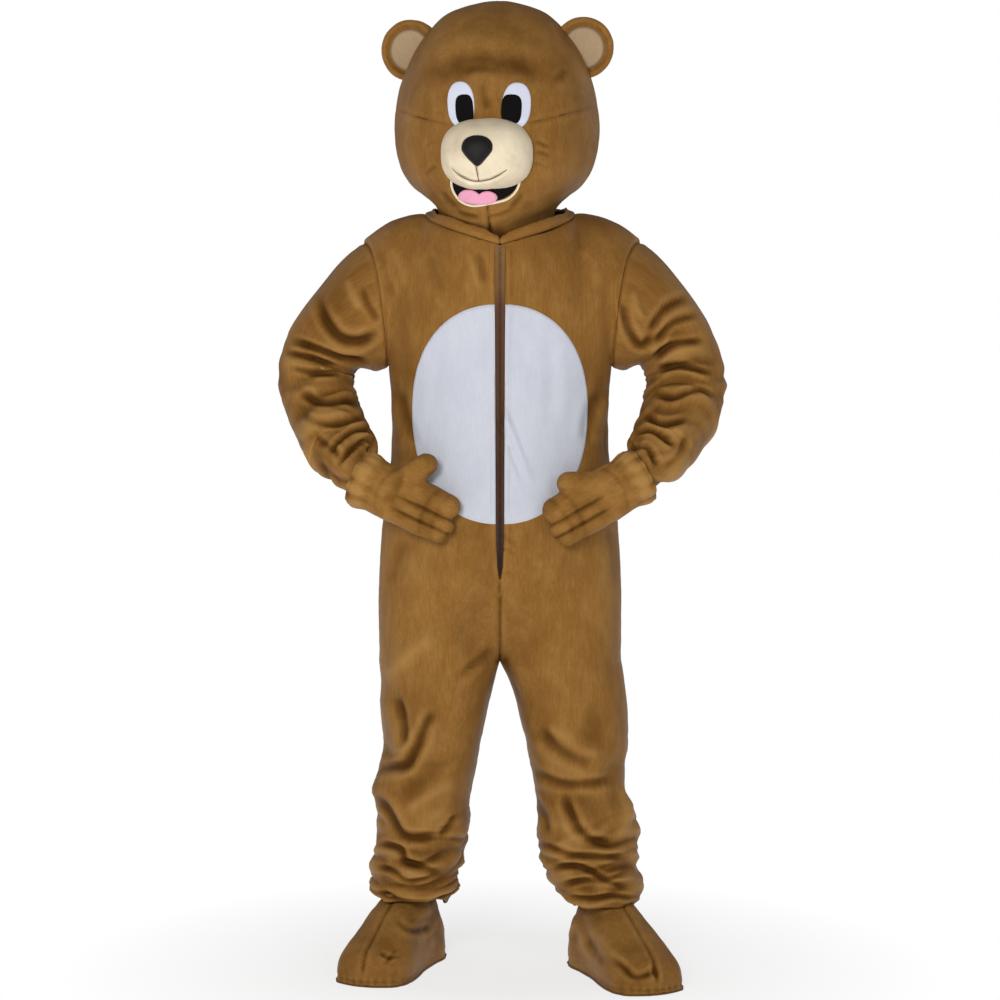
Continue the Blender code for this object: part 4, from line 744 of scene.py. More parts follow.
def merged(grids):
    """One list of points for several grids, and each grid's places in it."""
    every = np.concatenate([grid.reshape(-1, 3) for grid in grids])
    keys = np.floor(every * 1e5 + 0.3371).astype(np.int64)
    _, first, back = np.unique(keys, axis=0, return_index=True, return_inverse=True)
    back = back.reshape(-1)
    ids, start = [], 0
    for grid in grids:
        count = grid.shape[0] * grid.shape[1]
        ids.append(back[start:start + count].reshape(grid.shape[:2]))
        start += count
    return every[first], ids


def quads_of(ids, closed=False, flip=False):
    """Faces between the rows of a grid of point numbers."""
    if closed:
        ids = np.concatenate([ids, ids[:, :1]], axis=1)
    corners = [ids[:-1, :-1], ids[:-1, 1:], ids[1:, 1:], ids[1:, :-1]]
    if flip:
        corners = corners[::-1]
    return np.stack(corners, axis=2).reshape(-1, 4)


def normals_of(points, quads):
    """Outward directions at the points."""
    across = points[quads[:, 2]] - points[quads[:, 0]]
    down = points[quads[:, 3]] - points[quads[:, 1]]
    face = np.cross(across, down)
    total = np.zeros_like(points)
    for k in range(4):
        np.add.at(total, quads[:, k], face)
    length = np.linalg.norm(total, axis=1)
    return total / np.maximum(length, 1e-12)[:, None]


def mean_at(ids, values, count):
    """Values given at several grids' points, averaged where the grids share a point."""
    total, shares = np.zeros(count), np.zeros(count)
    for places, value in zip(ids, values):
        np.add.at(total, places.reshape(-1), value.reshape(-1))
        np.add.at(shares, places.reshape(-1), 1)
    return total / np.maximum(shares, 1)


def clean_quads(quads):
    """Faces as lists, with a doubled corner left out."""
    faces = []
    for quad in quads.tolist():
        face = [c for n, c in enumerate(quad) if c != quad[n - 1]]
        if len(face) > 2:
            faces.append(face)
    return faces


def mesh_object(name, points, faces, material, extras=None, sharp=None):
    """A smooth-shaded object of points and faces, with values kept at its points."""
    mesh = bpy.data.meshes.new(name)
    mesh.from_pydata(np.asarray(points).tolist(), [], faces if isinstance(faces, list) else faces.tolist())
    mesh.update()
    mesh.validate()
    for key, values in (extras or {}).items():
        values = np.asarray(values, dtype=np.float32)
        kind, slot = ("FLOAT", "value") if values.ndim == 1 else ("FLOAT_VECTOR", "vector")
        layer = mesh.attributes.new(key, kind, "POINT")
        layer.data.foreach_set(slot, values.reshape(-1))
    mesh.shade_smooth()
    if sharp is not None:
        mesh.set_sharp_from_angle(angle=math.radians(sharp))
    piece = bpy.data.objects.new(name, mesh)
    bpy.context.scene.collection.objects.link(piece)
    piece.data.materials.append(material)
    return piece


def shell(name, points, normals, quads, thickness, material, extras=None):
    """A thin closed wall: these faces, the same ones further in, and the edges between them."""
    used, places = np.unique(quads, return_inverse=True)
    quads = places.reshape(quads.shape)
    count = len(used)
    outer, inner = points[used], points[used] - normals[used] * thickness
    starts = quads.reshape(-1)
    ends = np.roll(quads, -1, axis=1).reshape(-1)
    forward, backward = starts * count + ends, ends * count + starts
    open_edge = ~np.isin(forward, backward) & (starts != ends)
    a, b = starts[open_edge], ends[open_edge]
    rim = np.stack([b, a, a + count, b + count], axis=1)
    faces = np.concatenate([quads, quads[:, ::-1] + count, rim])
    kept = {key: np.concatenate([np.asarray(v)[used]] * 2) for key, v in (extras or {}).items()}
    return mesh_object(name, np.concatenate([outer, inner]), clean_quads(faces), material, kept, sharp=70)


def tube(name, path, radius, material, sides=8, closed=False):
    """A round thread along a path, its ends drawn in."""
    path = np.array(path)
    if closed:
        ahead = np.roll(path, -1, axis=0) - np.roll(path, 1, axis=0)
    else:
        ahead = np.gradient(path, axis=0)
    ahead /= np.linalg.norm(ahead, axis=1)[:, None]
    side = np.cross(ahead, (0.05, -1.0, 0.1))
    side /= np.linalg.norm(side, axis=1)[:, None]
    over = np.cross(side, ahead)
    radii = np.full(len(path), radius)
    if not closed:
        radii[0] = radii[-1] = radius * 0.3
    angle = np.arange(sides) / sides * 2 * math.pi
    rings = path[:, None] + radii[:, None, None] * (
        side[:, None] * np.cos(angle)[None, :, None] + over[:, None] * np.sin(angle)[None, :, None])
    count = len(path)
    ids = np.arange(count * sides).reshape(count, sides)
    if closed:
        ids = np.concatenate([ids, ids[:1]])
    faces = quads_of(ids, closed=True).tolist()
    if not closed:
        faces += [ids[0, ::-1].tolist(), ids[-1].tolist()]
    piece = mesh_object(name, rings.reshape(-1, 3), faces, material)
    return tidy_normals(piece)


def tidy_normals(piece):
    """Turn a closed piece's faces outwards."""
    shape = bmesh.new()
    shape.from_mesh(piece.data)
    bmesh.ops.recalc_face_normals(shape, faces=shape.faces)
    shape.to_mesh(piece.data)
    shape.free()
    return piece


def declare(piece, nodes):
    """What every piece says: what it rides on and which solids it stands for."""
    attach(piece, "root")
    if nodes:
        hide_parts(*nodes)
    return piece


# Materials

def new_tree(name):
    """An empty material with its output and a Principled shader."""
    material = bpy.data.materials.new(name)
    material.use_nodes = True
    tree = material.node_tree
    shader = tree.nodes["Principled BSDF"]
    return material, tree, shader


def put(tree, kind, **sockets):
    """A node with its sockets set or linked by name."""
    node = tree.nodes.new(kind)
    for key, value in sockets.items():
        socket = node.inputs[key.replace("_", " ")] if isinstance(key, str) else node.inputs[key]
        if isinstance(value, bpy.types.NodeSocket):
            tree.links.new(value, socket)
        else:
            socket.default_value = value
    return node


def noise_at(tree, coords, scale, size, detail=3.0, rough=0.55):
    """A noise whose cells are stretched by the scale's three numbers."""
    place = tree.nodes.new("ShaderNodeMapping")
    place.inputs["Scale"].default_value = scale
    tree.links.new(coords, place.inputs["Vector"])
    node = put(tree, "ShaderNodeTexNoise", Vector=place.outputs[0], Scale=size, Detail=detail, Roughness=rough)
    return node.outputs["Fac"]


def ranged(tree, value, low, high, to_low, to_high):
    """A value carried from one range to another."""
    node = put(tree, "ShaderNodeMapRange", Value=value)
    for key, number in (("From Min", low), ("From Max", high), ("To Min", to_low), ("To Max", to_high)):
        node.inputs[key].default_value = number
    return node.outputs[0]


def blended(tree, factor, first, second, kind="MIX"):
    """Two colours mixed by a factor."""
    node = tree.nodes.new("ShaderNodeMix")
    node.data_type = "RGBA"
    node.blend_type = kind
    for socket, value in ((node.inputs[0], factor), (node.inputs[6], first), (node.inputs[7], second)):
        if isinstance(value, bpy.types.NodeSocket):
            tree.links.new(value, socket)
        elif isinstance(value, tuple):
            socket.default_value = (*value, 1.0)
        else:
            socket.default_value = value
    return node.outputs[2]


def pile_material(name, light, middle, dark, streak=1.0, sheen=0.04, rough=0.50, painted_relief=True, tint=None, shine=0.16):
    """Short pile cloth: nap streaks along the piece, uneven dye, painted shade in fold valleys, painted highlight on
    fold ridges and a fine pile.
    """
    material, tree, shader = new_tree(name)
    nap = put(tree, "ShaderNodeAttribute")
    nap.attribute_name = "nap"
    coords = nap.outputs["Vector"]
    streaks = noise_at(tree, coords, (230, 230, 26), 1.0, 4.0, 0.62)
    fine = noise_at(tree, coords, (620, 620, 90), 1.0, 2.0)
    clouds = noise_at(tree, coords, (11, 11, 7), 1.0, 3.0)
    brushed = noise_at(tree, coords, (38, 38, 20), 1.0, 3.0)
    colour = blended(tree, ranged(tree, streaks, 0.28, 0.72, 0.5 - 0.5 * streak, 0.5 + 0.5 * streak), dark, light)
    colour = blended(tree, 0.72, colour, middle)
    colour = blended(tree, ranged(tree, clouds, 0.3, 0.7, 0.0, 0.42), colour, dark)
    colour = blended(tree, ranged(tree, brushed, 0.45, 0.75, 0.0, 0.30), colour, light)
    colour = blended(tree, ranged(tree, fine, 0.3, 0.7, 0.0, 0.35), colour, dark)
    if painted_relief:
        height = put(tree, "ShaderNodeAttribute")
        height.attribute_name = "painted_relief"
        value = height.outputs["Fac"]
        # Painted shade: where the relief is below nought, in troughs and creases, the colour goes towards a deep
        # brown.
        colour = blended(tree, ranged(tree, value, 0.0, -0.9, 0.0, 0.92), colour, tuple(c * 0.40 for c in dark))
        # Painted highlight: where the relief is above nought, on fold ridges, the colour goes towards the light tone.
        colour = blended(tree, ranged(tree, value, 0.05, 0.9, 0.0, 0.55), colour, light)
    tree.links.new(colour, shader.inputs["Base Color"])
    tree.links.new(ranged(tree, streaks, 0.25, 0.75, rough - 0.08, rough + 0.10), shader.inputs["Roughness"])
    shader.inputs["Specular IOR Level"].default_value = shine
    shader.inputs["Specular Tint"].default_value = (*(tint or light), 1.0)
    shader.inputs["Sheen Weight"].default_value = sheen
    shader.inputs["Sheen Roughness"].default_value = 0.35
    shader.inputs["Sheen Tint"].default_value = (*(tint or light), 1.0)
    pile = noise_at(tree, coords, (1500, 1500, 420), 1.0, 2.0)
    low = put(tree, "ShaderNodeBump", Height=streaks, Strength=0.22, Distance=0.0010)
    high = put(tree, "ShaderNodeBump", Height=pile, Strength=0.45, Distance=0.0006, Normal=low.outputs[0])
    tree.links.new(high.outputs[0], shader.inputs["Normal"])
    return material


def felt_material(name, middle, dark, rough=0.85, sheen=0.2, shine=0.2):
    """Pressed felt: short fibres lying every way."""
    material, tree, shader = new_tree(name)
    coords = put(tree, "ShaderNodeTexCoord").outputs["Object"]
    fibres = noise_at(tree, coords, (900, 900, 900), 1.0, 4.0, 0.7)
    clouds = noise_at(tree, coords, (40, 40, 40), 1.0, 3.0)
    colour = blended(tree, ranged(tree, fibres, 0.3, 0.7, 0.0, 0.55), middle, dark)
    colour = blended(tree, ranged(tree, clouds, 0.35, 0.7, 0.0, 0.35), colour, dark)
    tree.links.new(colour, shader.inputs["Base Color"])
    tree.links.new(ranged(tree, fibres, 0.3, 0.7, rough - 0.08, rough + 0.08), shader.inputs["Roughness"])
    shader.inputs["Specular IOR Level"].default_value = shine
    shader.inputs["Sheen Weight"].default_value = sheen
    shader.inputs["Sheen Roughness"].default_value = 0.5
    bump = put(tree, "ShaderNodeBump", Height=fibres, Strength=0.4, Distance=0.0005)
    tree.links.new(bump.outputs[0], shader.inputs["Normal"])
    return material


def woven_material(name, colours_by_height, dark, rough=0.6):
    """Woven zip tape, its colour running through these (height, colour) pairs."""
    material, tree, shader = new_tree(name)
    coords = put(tree, "ShaderNodeTexCoord").outputs["Object"]
    height = tree.nodes.new("ShaderNodeSeparateXYZ")
    tree.links.new(coords, height.inputs[0])
    low, high = colours_by_height[0][0], colours_by_height[-1][0]
    ramp = tree.nodes.new("ShaderNodeValToRGB")
    tree.links.new(ranged(tree, height.outputs[2], low, high, 0.0, 1.0), ramp.inputs[0])
    while len(ramp.color_ramp.elements) < len(colours_by_height):
        ramp.color_ramp.elements.new(0.5)
    for element, (place, colour) in zip(ramp.color_ramp.elements, colours_by_height):
        element.position = (place - low) / (high - low)
        element.color = (*colour, 1.0)
    wave = put(tree, "ShaderNodeTexWave", Vector=coords, Scale=260.0, Distortion=1.5, Detail=2.0)
    wave.bands_direction = "Z"
    threads = noise_at(tree, coords, (700, 700, 1400), 1.0, 3.0)
    colour = blended(tree, ranged(tree, threads, 0.3, 0.7, 0.0, 0.5), ramp.outputs[0], dark)
    tree.links.new(colour, shader.inputs["Base Color"])
    tree.links.new(ranged(tree, threads, 0.3, 0.7, rough - 0.08, rough + 0.1), shader.inputs["Roughness"])
    shader.inputs["Specular IOR Level"].default_value = 0.3
    bump = put(tree, "ShaderNodeBump", Height=wave.outputs["Fac"], Strength=0.35, Distance=0.0004)
    tree.links.new(bump.outputs[0], shader.inputs["Normal"])
    return material


def make_materials():
    """All the finishes, by the names of the record's slots and a few more."""
    plush = dict(light=(0.42, 0.236, 0.076), middle=(0.272, 0.132, 0.031), dark=(0.140, 0.053, 0.009))
    made = {
        "plush": pile_material("plush", **plush),
        "belly_cloth": pile_material(
            "belly_cloth", (0.62, 0.64, 0.70), (0.56, 0.58, 0.64), (0.43, 0.45, 0.53), 0.7, 0.08, 0.5),
        "cream_plush": pile_material(
            "cream_plush", (0.86, 0.79, 0.64), (0.78, 0.68, 0.50), (0.62, 0.50, 0.34), 0.4, 0.1, 0.7),
        "beige_plush": pile_material(
            "beige_plush", (0.52, 0.40, 0.26), (0.42, 0.31, 0.19), (0.28, 0.18, 0.10), 0.6, 0.1, 0.7),
        "white_felt": felt_material("white_felt", (0.68, 0.71, 0.82), (0.55, 0.58, 0.70), 0.85, 0.1),
        "black_felt": felt_material("black_felt", (0.006, 0.005, 0.005), (0.002, 0.002, 0.002), 0.85, 0.0, 0.08),
        "nose_cloth": felt_material("nose_cloth", (0.009, 0.007, 0.007), (0.003, 0.002, 0.002), 0.6, 0.03, 0.2),
        "tongue_cloth": felt_material("tongue_cloth", (0.78, 0.36, 0.50), (0.60, 0.24, 0.36), 0.8, 0.25),
        "zip": woven_material(
            "zip_tape", ((-0.64, (0.022, 0.009, 0.005)), (-0.52, (0.042, 0.014, 0.006)),
                         (-0.13, (0.100, 0.040, 0.014)), (-0.09, (0.19, 0.088, 0.024)),
                         (-0.01, (0.22, 0.105, 0.028))), (0.02, 0.007, 0.003)),
        "sole": felt_material("sole", (0.15, 0.072, 0.022), (0.08, 0.036, 0.010), 0.8, 0.1),
        "thread": felt_material("thread", (0.10, 0.045, 0.018), (0.05, 0.02, 0.008), 0.6, 0.1, 0.3),
        "pale_thread": felt_material("pale_thread", (0.70, 0.70, 0.78), (0.5, 0.5, 0.58), 0.6, 0.1, 0.3),
    }
    return made


# The suit

def seam_form(gap, uneven):
    """The groove at a seam and the soft cushion of cloth beside it."""
    groove = -0.0021 * np.exp(-(gap / 0.0032) ** 2)
    cushion = 0.0009 * np.exp(-((gap - 0.009) / 0.005) ** 2)
    return (groove + cushion) * (1 + 0.45 * uneven)


def edge_gaps(grid):
    """Distances from each point of a grid to its first and its last column."""
    steps = np.linalg.norm(np.diff(grid, axis=1), axis=2)
    first = np.concatenate([np.zeros((len(grid), 1)), np.cumsum(steps, axis=1)], axis=1)
    return first, first[:, -1:] - first


def rows_down(grid):
    """Distances from each point to its grid's first row."""
    steps = np.linalg.norm(np.diff(grid, axis=0), axis=2)
    return np.concatenate([np.zeros((1, grid.shape[1])), np.cumsum(steps, axis=0)])


def panel_seams(grid, face):
    """Seam grooves of one panel: middle, side, shoulder and armhole."""
    flat = grid.reshape(-1, 3)
    uneven = lattice_noise(flat * 70, 31).reshape(grid.shape[:2])
    middle, side = edge_gaps(grid)
    form = seam_form(side, uneven)
    form += seam_form(middle, uneven) * (1.0 if face == "back" else step(0.775, 0.740, grid[:, :, 2]))
    top = rows_down(grid)
    columns = panel_columns()[None, :]
    form += seam_form(top, uneven) * step(NECK_SHARE - 0.02, NECK_SHARE + 0.03, columns)
    if face == "front":
        height = grid[:, :, 2]
        along_zip = step(0.752, 0.775, height) * step(1.385, 1.37, height)
        off = np.abs(grid[:, :, 0])
        edge = np.interp(height, [0.763, 0.83, 1.09, 1.3755], [0.0045, 0.0105, 0.012, 0.0140])
        form += along_zip * (0.0027 * np.exp(-((off - edge - 0.001) / 0.0036) ** 2)
                             - 0.0012 * (off < edge - 0.002))
    return form


def leg_crumple(points, side):
    """Uneven folds of a leg: stacked rings at the ankle, longer ones at the knee, slack above."""
    height = points[:, 2]
    legs = read_table(LEGS[side], np.minimum(height, CROTCH_HEIGHT))
    middle = (legs[:, 1] + legs[:, 2]) / 2 * SIDES[side]
    local = np.stack([points[:, 0] - middle, points[:, 1], height], axis=1)
    seed = 11 if side == "left" else 12
    warp = lattice_noise(local * (5, 5, 9), seed) * 0.030
    warp += lattice_noise(local * (14, 14, 20), seed + 20) * 0.007
    high = height + warp
    ring = np.stack([local[:, 0] * 8.5, local[:, 1] * 8.5, high * 37], axis=1)
    wave = lattice_noise(ring, seed + 40)
    rings = 1.9 * np.sqrt(wave ** 2 + 0.006) - 0.50
    small = lattice_noise(ring * (2.4, 2.4, 2.2), seed + 60)
    front = step(0.02, -0.06, points[:, 1])
    ankle = step(0.335, 0.235, height) * step(0.100, 0.135, height)
    knee = bump_at(height, 0.375, 0.125)
    thigh = step(0.34, 0.50, height) * step(0.70, 0.56, height)
    long_wave = lattice_noise(np.stack([local[:, 0] * 7, local[:, 1] * 7, (height + 1.6 * warp) * 17], 1), seed + 80)
    move = ankle * (0.0084 * rings + 0.0022 * small) * (1 - 0.22 * front)
    move += knee * (0.0056 * long_wave + 0.0014 * small) * (1 - 0.5 * front)
    move += thigh * 0.0028 * long_wave * (1 - 0.75 * front)
    return move


def trunk_slack(points):
    """Slow vertical drapes of the trunk, more at the waist and the back."""
    slow = lattice_noise(points * (15, 11, 3.2) + (0.37, 0.0, 0.0), 91)
    fine = lattice_noise(points * (34, 26, 11), 92)
    cross = lattice_noise(points * (6, 6, 19) + (0.0, 2.3, 0.0), 93)
    back = step(-0.02, 0.06, points[:, 1])
    height = points[:, 2]
    whole = step(0.56, 0.70, height)
    waist = bump_at(height, 0.97, 0.22)
    sides = step(0.10, 0.19, np.abs(points[:, 0]))
    move = whole * (0.0026 + 0.0026 * back) * slow + whole * 0.0007 * fine
    return move + waist * (0.0022 + 0.0040 * back + 0.0020 * sides) * cross


def sleeve_crumple(grid, along, around, side):
    """Uneven folds of a sleeve: across its inner bend, round the forearm and at the wrist."""
    angle = around * 2 * math.pi
    shape = grid.shape[:2]
    ring = np.stack(np.broadcast_arrays(-np.cos(angle) * 0.075, np.sin(angle) * 0.075, along), axis=2)
    local = ring.reshape(-1, 3)
    seed = 211 if side == "left" else 212
    warp = lattice_noise(local * (9, 9, 9), seed) * 0.030
    high = local[:, 2] + warp + 0.25 * local[:, 0]
    folds = np.stack([local[:, 0] * 9, local[:, 1] * 9, high * 34], axis=1)
    wave = lattice_noise(folds, seed + 20)
    rings = 1.8 * np.sqrt(wave ** 2 + 0.008) - 0.50
    small = lattice_noise(folds * (2.3, 2.3, 2.1), seed + 40)
    slow = lattice_noise(np.stack([local[:, 0] * 8, local[:, 1] * 8, high * 13], axis=1), seed + 60)
    front = step(0.1, 0.6, np.sin(angle)) + np.zeros(shape)
    front = front.reshape(-1)
    down = (along + np.zeros(shape)).reshape(-1)
    start = step(0.02, 0.09, down)
    bend = bump_at(down, 0.185, 0.10)
    wrist = step(0.27, 0.345, down) * step(0.415, 0.385, down)
    lower = step(0.20, 0.27, down) * step(0.43, 0.39, down)
    move = start * 0.0040 * slow + bend * 0.0052 * rings + lower * 0.0046 * rings
    move += wrist * 0.0030 * rings + (bend + wrist) * 0.0014 * small
    return (move * (1 - 0.45 * front)).reshape(shape), ring


HEM_DRAW, HEM_RAISE = 0.0150, 0.0110
# A fold this deep gets the full painted shade in its trough and painted highlight on its ridge, and a shallower one
# where the cloth is bunched
RELIEF_DEPTH, RELIEF_LESS = 0.0072, 0.0026


class Suit:
    """The suit's panels and sleeves on shared points, moved by their folds, creases and seams."""

    def __init__(self):
        names, grids, moves, slow_moves, naps, flips = [], [], [], [], [], []
        self.closed = {}
        self.bottoms = {}
        for side, sign in SIDES.items():
            panels = {face: panel_grid(side, face) for face in ("front", "back")}
            girth = girth_of([panels["front"][0], panels["back"][0]])
            for face, (grid, around) in panels.items():
                flat = grid.reshape(-1, 3)
                folds = fold_depth(SUIT_FOLDS[side], grid[:, :, 2], around, girth)
                folds[: YOKE_SPACES + 1] = 0.0
                own = folds * 0.75 + leg_crumple(flat, side).reshape(folds.shape) * step(0.72, 0.60, grid[:, :, 2])
                own += trunk_slack(flat).reshape(folds.shape) + panel_seams(grid, face)
                names.append(f"suit_{face}_{side}")
                grids.append(grid)
                moves.append(own)
                slow_moves.append(folds * 0.45)
                naps.append(grid.copy())
                flips.append((sign > 0) == (face == "front"))
            front, back = panels["front"][0], panels["back"][0]
            armhole = np.concatenate([front[YOKE_SPACES::-1, -1], back[1:YOKE_SPACES, -1]])
            grid, along, around = sleeve_grid(side, armhole)
            girth = girth_of([np.concatenate([grid, grid[:, :1]], axis=1)])
            folds = fold_depth(SLEEVE_FOLDS[side], along, around, girth) * np.clip(along / 0.06, 0, 1)
            crumple, ring = sleeve_crumple(grid, along, around, side)
            uneven = lattice_noise(grid.reshape(-1, 3) * 70, 31).reshape(grid.shape[:2])
            own = folds * 0.75 + crumple + seam_form(rows_down(grid), uneven)
            first, last = edge_gaps(np.concatenate([grid, grid[:, :1]], axis=1))
            own += seam_form(np.minimum(first, last)[:, :-1], uneven)
            names.append(f"suit_sleeve_{side}")
            grids.append(grid)
            moves.append(own)
            slow_moves.append(folds * 0.45)
            naps.append(ring)
            flips.append(sign > 0)
        points, ids = merged(grids)
        quads = [quads_of(i, "sleeve" in n, f) for i, n, f in zip(ids, names, flips)]
        self.ids = dict(zip(names, ids))
        every = np.concatenate(quads)
        count = len(points)
        normals = normals_of(points, every)
        move = mean_at(ids, moves, count)
        low = points - (0, 0, SHOULDER_HEIGHT)
        move += crease_depth(SUIT_CREASES, low, normals)
        beside = step(0.25, 0.75, np.abs(normals[:, 0]))
        move -= HEM_DRAW * step(0.150, 0.106, points[:, 2]) * beside
        low[:, 2] += HEM_RAISE * step(0.170, 0.108, points[:, 2]) * beside
        self.nap = np.stack([mean_at(ids, [n[:, :, k] for n in naps], count) for k in range(3)], axis=1)
        # Painted shade and highlight: the fine folds' depth darkens their troughs and lightens their ridges, more
        # readily at the shins and elbows.
        quick = move - mean_at(ids, slow_moves, count)
        shins = step(0.40, 0.30, points[:, 2])
        elbows = step(0.235, 0.27, np.abs(points[:, 0])) * step(0.7, 0.8, points[:, 2])
        bunched = shins + elbows
        self.painted_relief = np.tanh(0.92 * quick / (RELIEF_DEPTH - RELIEF_LESS * np.clip(bunched, 0, 1)))
        self.points = low + normals * move[:, None]
        self.names = names
        self.quads = dict(zip(names, quads))
        self.normals = normals_of(self.points, every)
        self.add_hems()

    def add_hems(self):
        """Turn the trouser hems in and up."""
        for side in SIDES:
            rows = [self.ids[f"suit_{face}_{side}"][-1] for face in ("front", "back")]
            edge = np.unique(np.concatenate(rows))
            inwards = -self.normals[edge] * (1, 1, 0)
            inwards /= np.linalg.norm(inwards, axis=1)[:, None]
            turns = ((0.0012, -0.0030), (0.0035, -0.0042), (0.0060, -0.0030), (0.0072, 0.0010), (0.0076, 0.0120))
            last_rows = rows
            for inward, down in turns:
                start = len(self.points)
                new = self.points[edge] + inwards * inward + (0, 0, down)
                self.points = np.concatenate([self.points, new])
                flat = inwards * (-1 if down < 0 else 1)
                self.normals = np.concatenate([self.normals, flat])
                self.nap = np.concatenate([self.nap, self.nap[edge] + (0, 0, down)])
                # Painted shade on the cloth turned up inside the hem.
                self.painted_relief = np.concatenate([self.painted_relief, np.full(len(edge), -0.35)])
                place = {k: start + n for n, k in enumerate(edge.tolist())}
                new_rows = [np.array([place[k] for k in row.tolist()]) for row in rows]
                for face, above, below in zip(("front", "back"), last_rows, new_rows):
                    name = f"suit_{face}_{side}"
                    flip = (SIDES[side] > 0) == (face == "front")
                    more = quads_of(np.stack([above, below]), False, flip)
                    self.quads[name] = np.concatenate([self.quads[name], more])
                last_rows = new_rows
        every = np.concatenate(list(self.quads.values()))
        self.normals = normals_of(self.points, every)

    def tree(self, names):
        """These pieces' outside as a surface that rays can meet."""
        quads = np.concatenate([self.quads[name] for name in names])
        return BVHTree.FromPolygons(self.points.tolist(), quads.tolist())

    def build(self, material):
        """One shell for each panel and sleeve."""
        extras = {"nap": self.nap, "painted_relief": self.painted_relief}
        made = {}
        for name in self.names:
            made[name] = shell(name, self.points, self.normals, self.quads[name], CLOTH, material, extras)
        return made


def front_hits(tree, x, height):
    """Points and normals on a surface, met from the front at these places."""
    places, normals = [], []
    for a, h in zip(x, height):
        place, normal, _, _ = tree.ray_cast(Vector((a, -1.0, h)), Vector((0, 1, 0)))
        if place is None:
            place, normal = Vector(places[-1]), Vector(normals[-1])
        if normal.y > 0:
            normal = -normal
        places.append(tuple(place))
        normals.append(tuple(normal))
    return np.array(places), np.array(normals)


def pad(name, tree, outline, centre, thickness, edge, material, rings=26, base=0.0003, frame_cast=None,
        dip=None):
    """A patch of cloth laid on a surface: flat below, rounded off at its outline."""
    outline = np.array(outline)
    count = len(outline)
    share = np.linspace(0, 1, rings + 1)[1:] ** 0.8
    spots = centre + share[:, None, None] * (outline - centre)[None]
    flat = np.concatenate([np.array([centre]), spots.reshape(-1, 2)])
    if frame_cast:
        places, normals = cast(tree, flat)
    else:
        places, normals = front_hits(tree, flat[:, 0], flat[:, 1])
    smooth = np.zeros_like(normals)
    smooth[0] = normals[0]
    field = normals[1:].reshape(rings, count, 3)
    field = (np.roll(field, 2, axis=1) + np.roll(field, 1, axis=1) + field
             + np.roll(field, -1, axis=1) + np.roll(field, -2, axis=1))
    smooth[1:] = field.reshape(-1, 3)
    smooth /= np.linalg.norm(smooth, axis=1)[:, None]
    reach = np.linalg.norm(places[1:].reshape(rings, count, 3) - places[1:].reshape(rings, count, 3)[-1], axis=2)
    rise = np.sqrt(np.clip(1 - (1 - np.clip(reach / edge, 0, 1)) ** 2, 0, 1)) * thickness
    if dip is not None:
        rise = rise + dip(spots)
    top = places.copy()
    top[0] += smooth[0] * (thickness + base)
    top[1:] += smooth[1:] * (rise.reshape(-1) + base)[:, None]
    under = places + smooth * (base * 0.4)
    ids = np.arange(rings * count).reshape(rings, count) + 1
    low = ids[:-1] + rings * count + 1
    low = np.concatenate([low, ids[-1:]])
    low_middle = rings * count + 1
    points = np.concatenate([top, under[1:1 + (rings - 1) * count]])
    low = np.concatenate([np.arange((rings - 1) * count).reshape(rings - 1, count) + len(top), ids[-1:]])
    points = np.concatenate([points, under[:1]])
    low_middle = len(points) - 1
    faces = quads_of(ids, closed=True).tolist() + quads_of(low, closed=True, flip=True).tolist()
    for k in range(count):
        m = (k + 1) % count
        faces.append([0, ids[0, m], ids[0, k]])
        faces.append([low_middle, low[0, k], low[0, m]])
    faces = [[int(c) for c in face] for face in faces]
    extras = {"nap": points, "painted_relief": np.zeros(len(points))}
    piece = mesh_object(name, points, faces, material, extras, sharp=60)
    return tidy_normals(piece)


# Belly, zip and collar

def zip_edge(heights):
    """Half the zip strip's width at these heights."""
    upward = ZIP[::-1]
    return np.interp(heights, [row.height for row in upward], [row.half_width for row in upward])


def belly_outline(side):
    """Half of the belly oval: down its outer edge, then up beside the zip."""
    turn = np.linspace(math.pi / 2, -math.pi / 2, 121)
    power = 2 / BELLY_ROUNDNESS
    x = BELLY_HALF_WIDTH * np.clip(np.cos(turn), 0, 1) ** power
    z = BELLY_CENTRE + np.where(turn > 0, BELLY_RISE, BELLY_DROP) * signed_power(np.sin(turn), power)
    edge = zip_edge(z) + 0.0004
    outer = [(reach, height) for reach, height, limit in zip(x, z, edge) if reach > limit + 0.003]
    heights = np.linspace(z[-1] + 0.0008, z[0] - 0.0008, 90)
    inner = list(zip(zip_edge(heights) + 0.0004, heights))
    line = np.array(outer + inner)
    line[:, 0] *= SIDES[side]
    line[:, 1] -= SHOULDER_HEIGHT
    return line


STITCH_INSET, STITCH_PITCH, BELLY_RINGS = 0.0046, 0.0042, 36


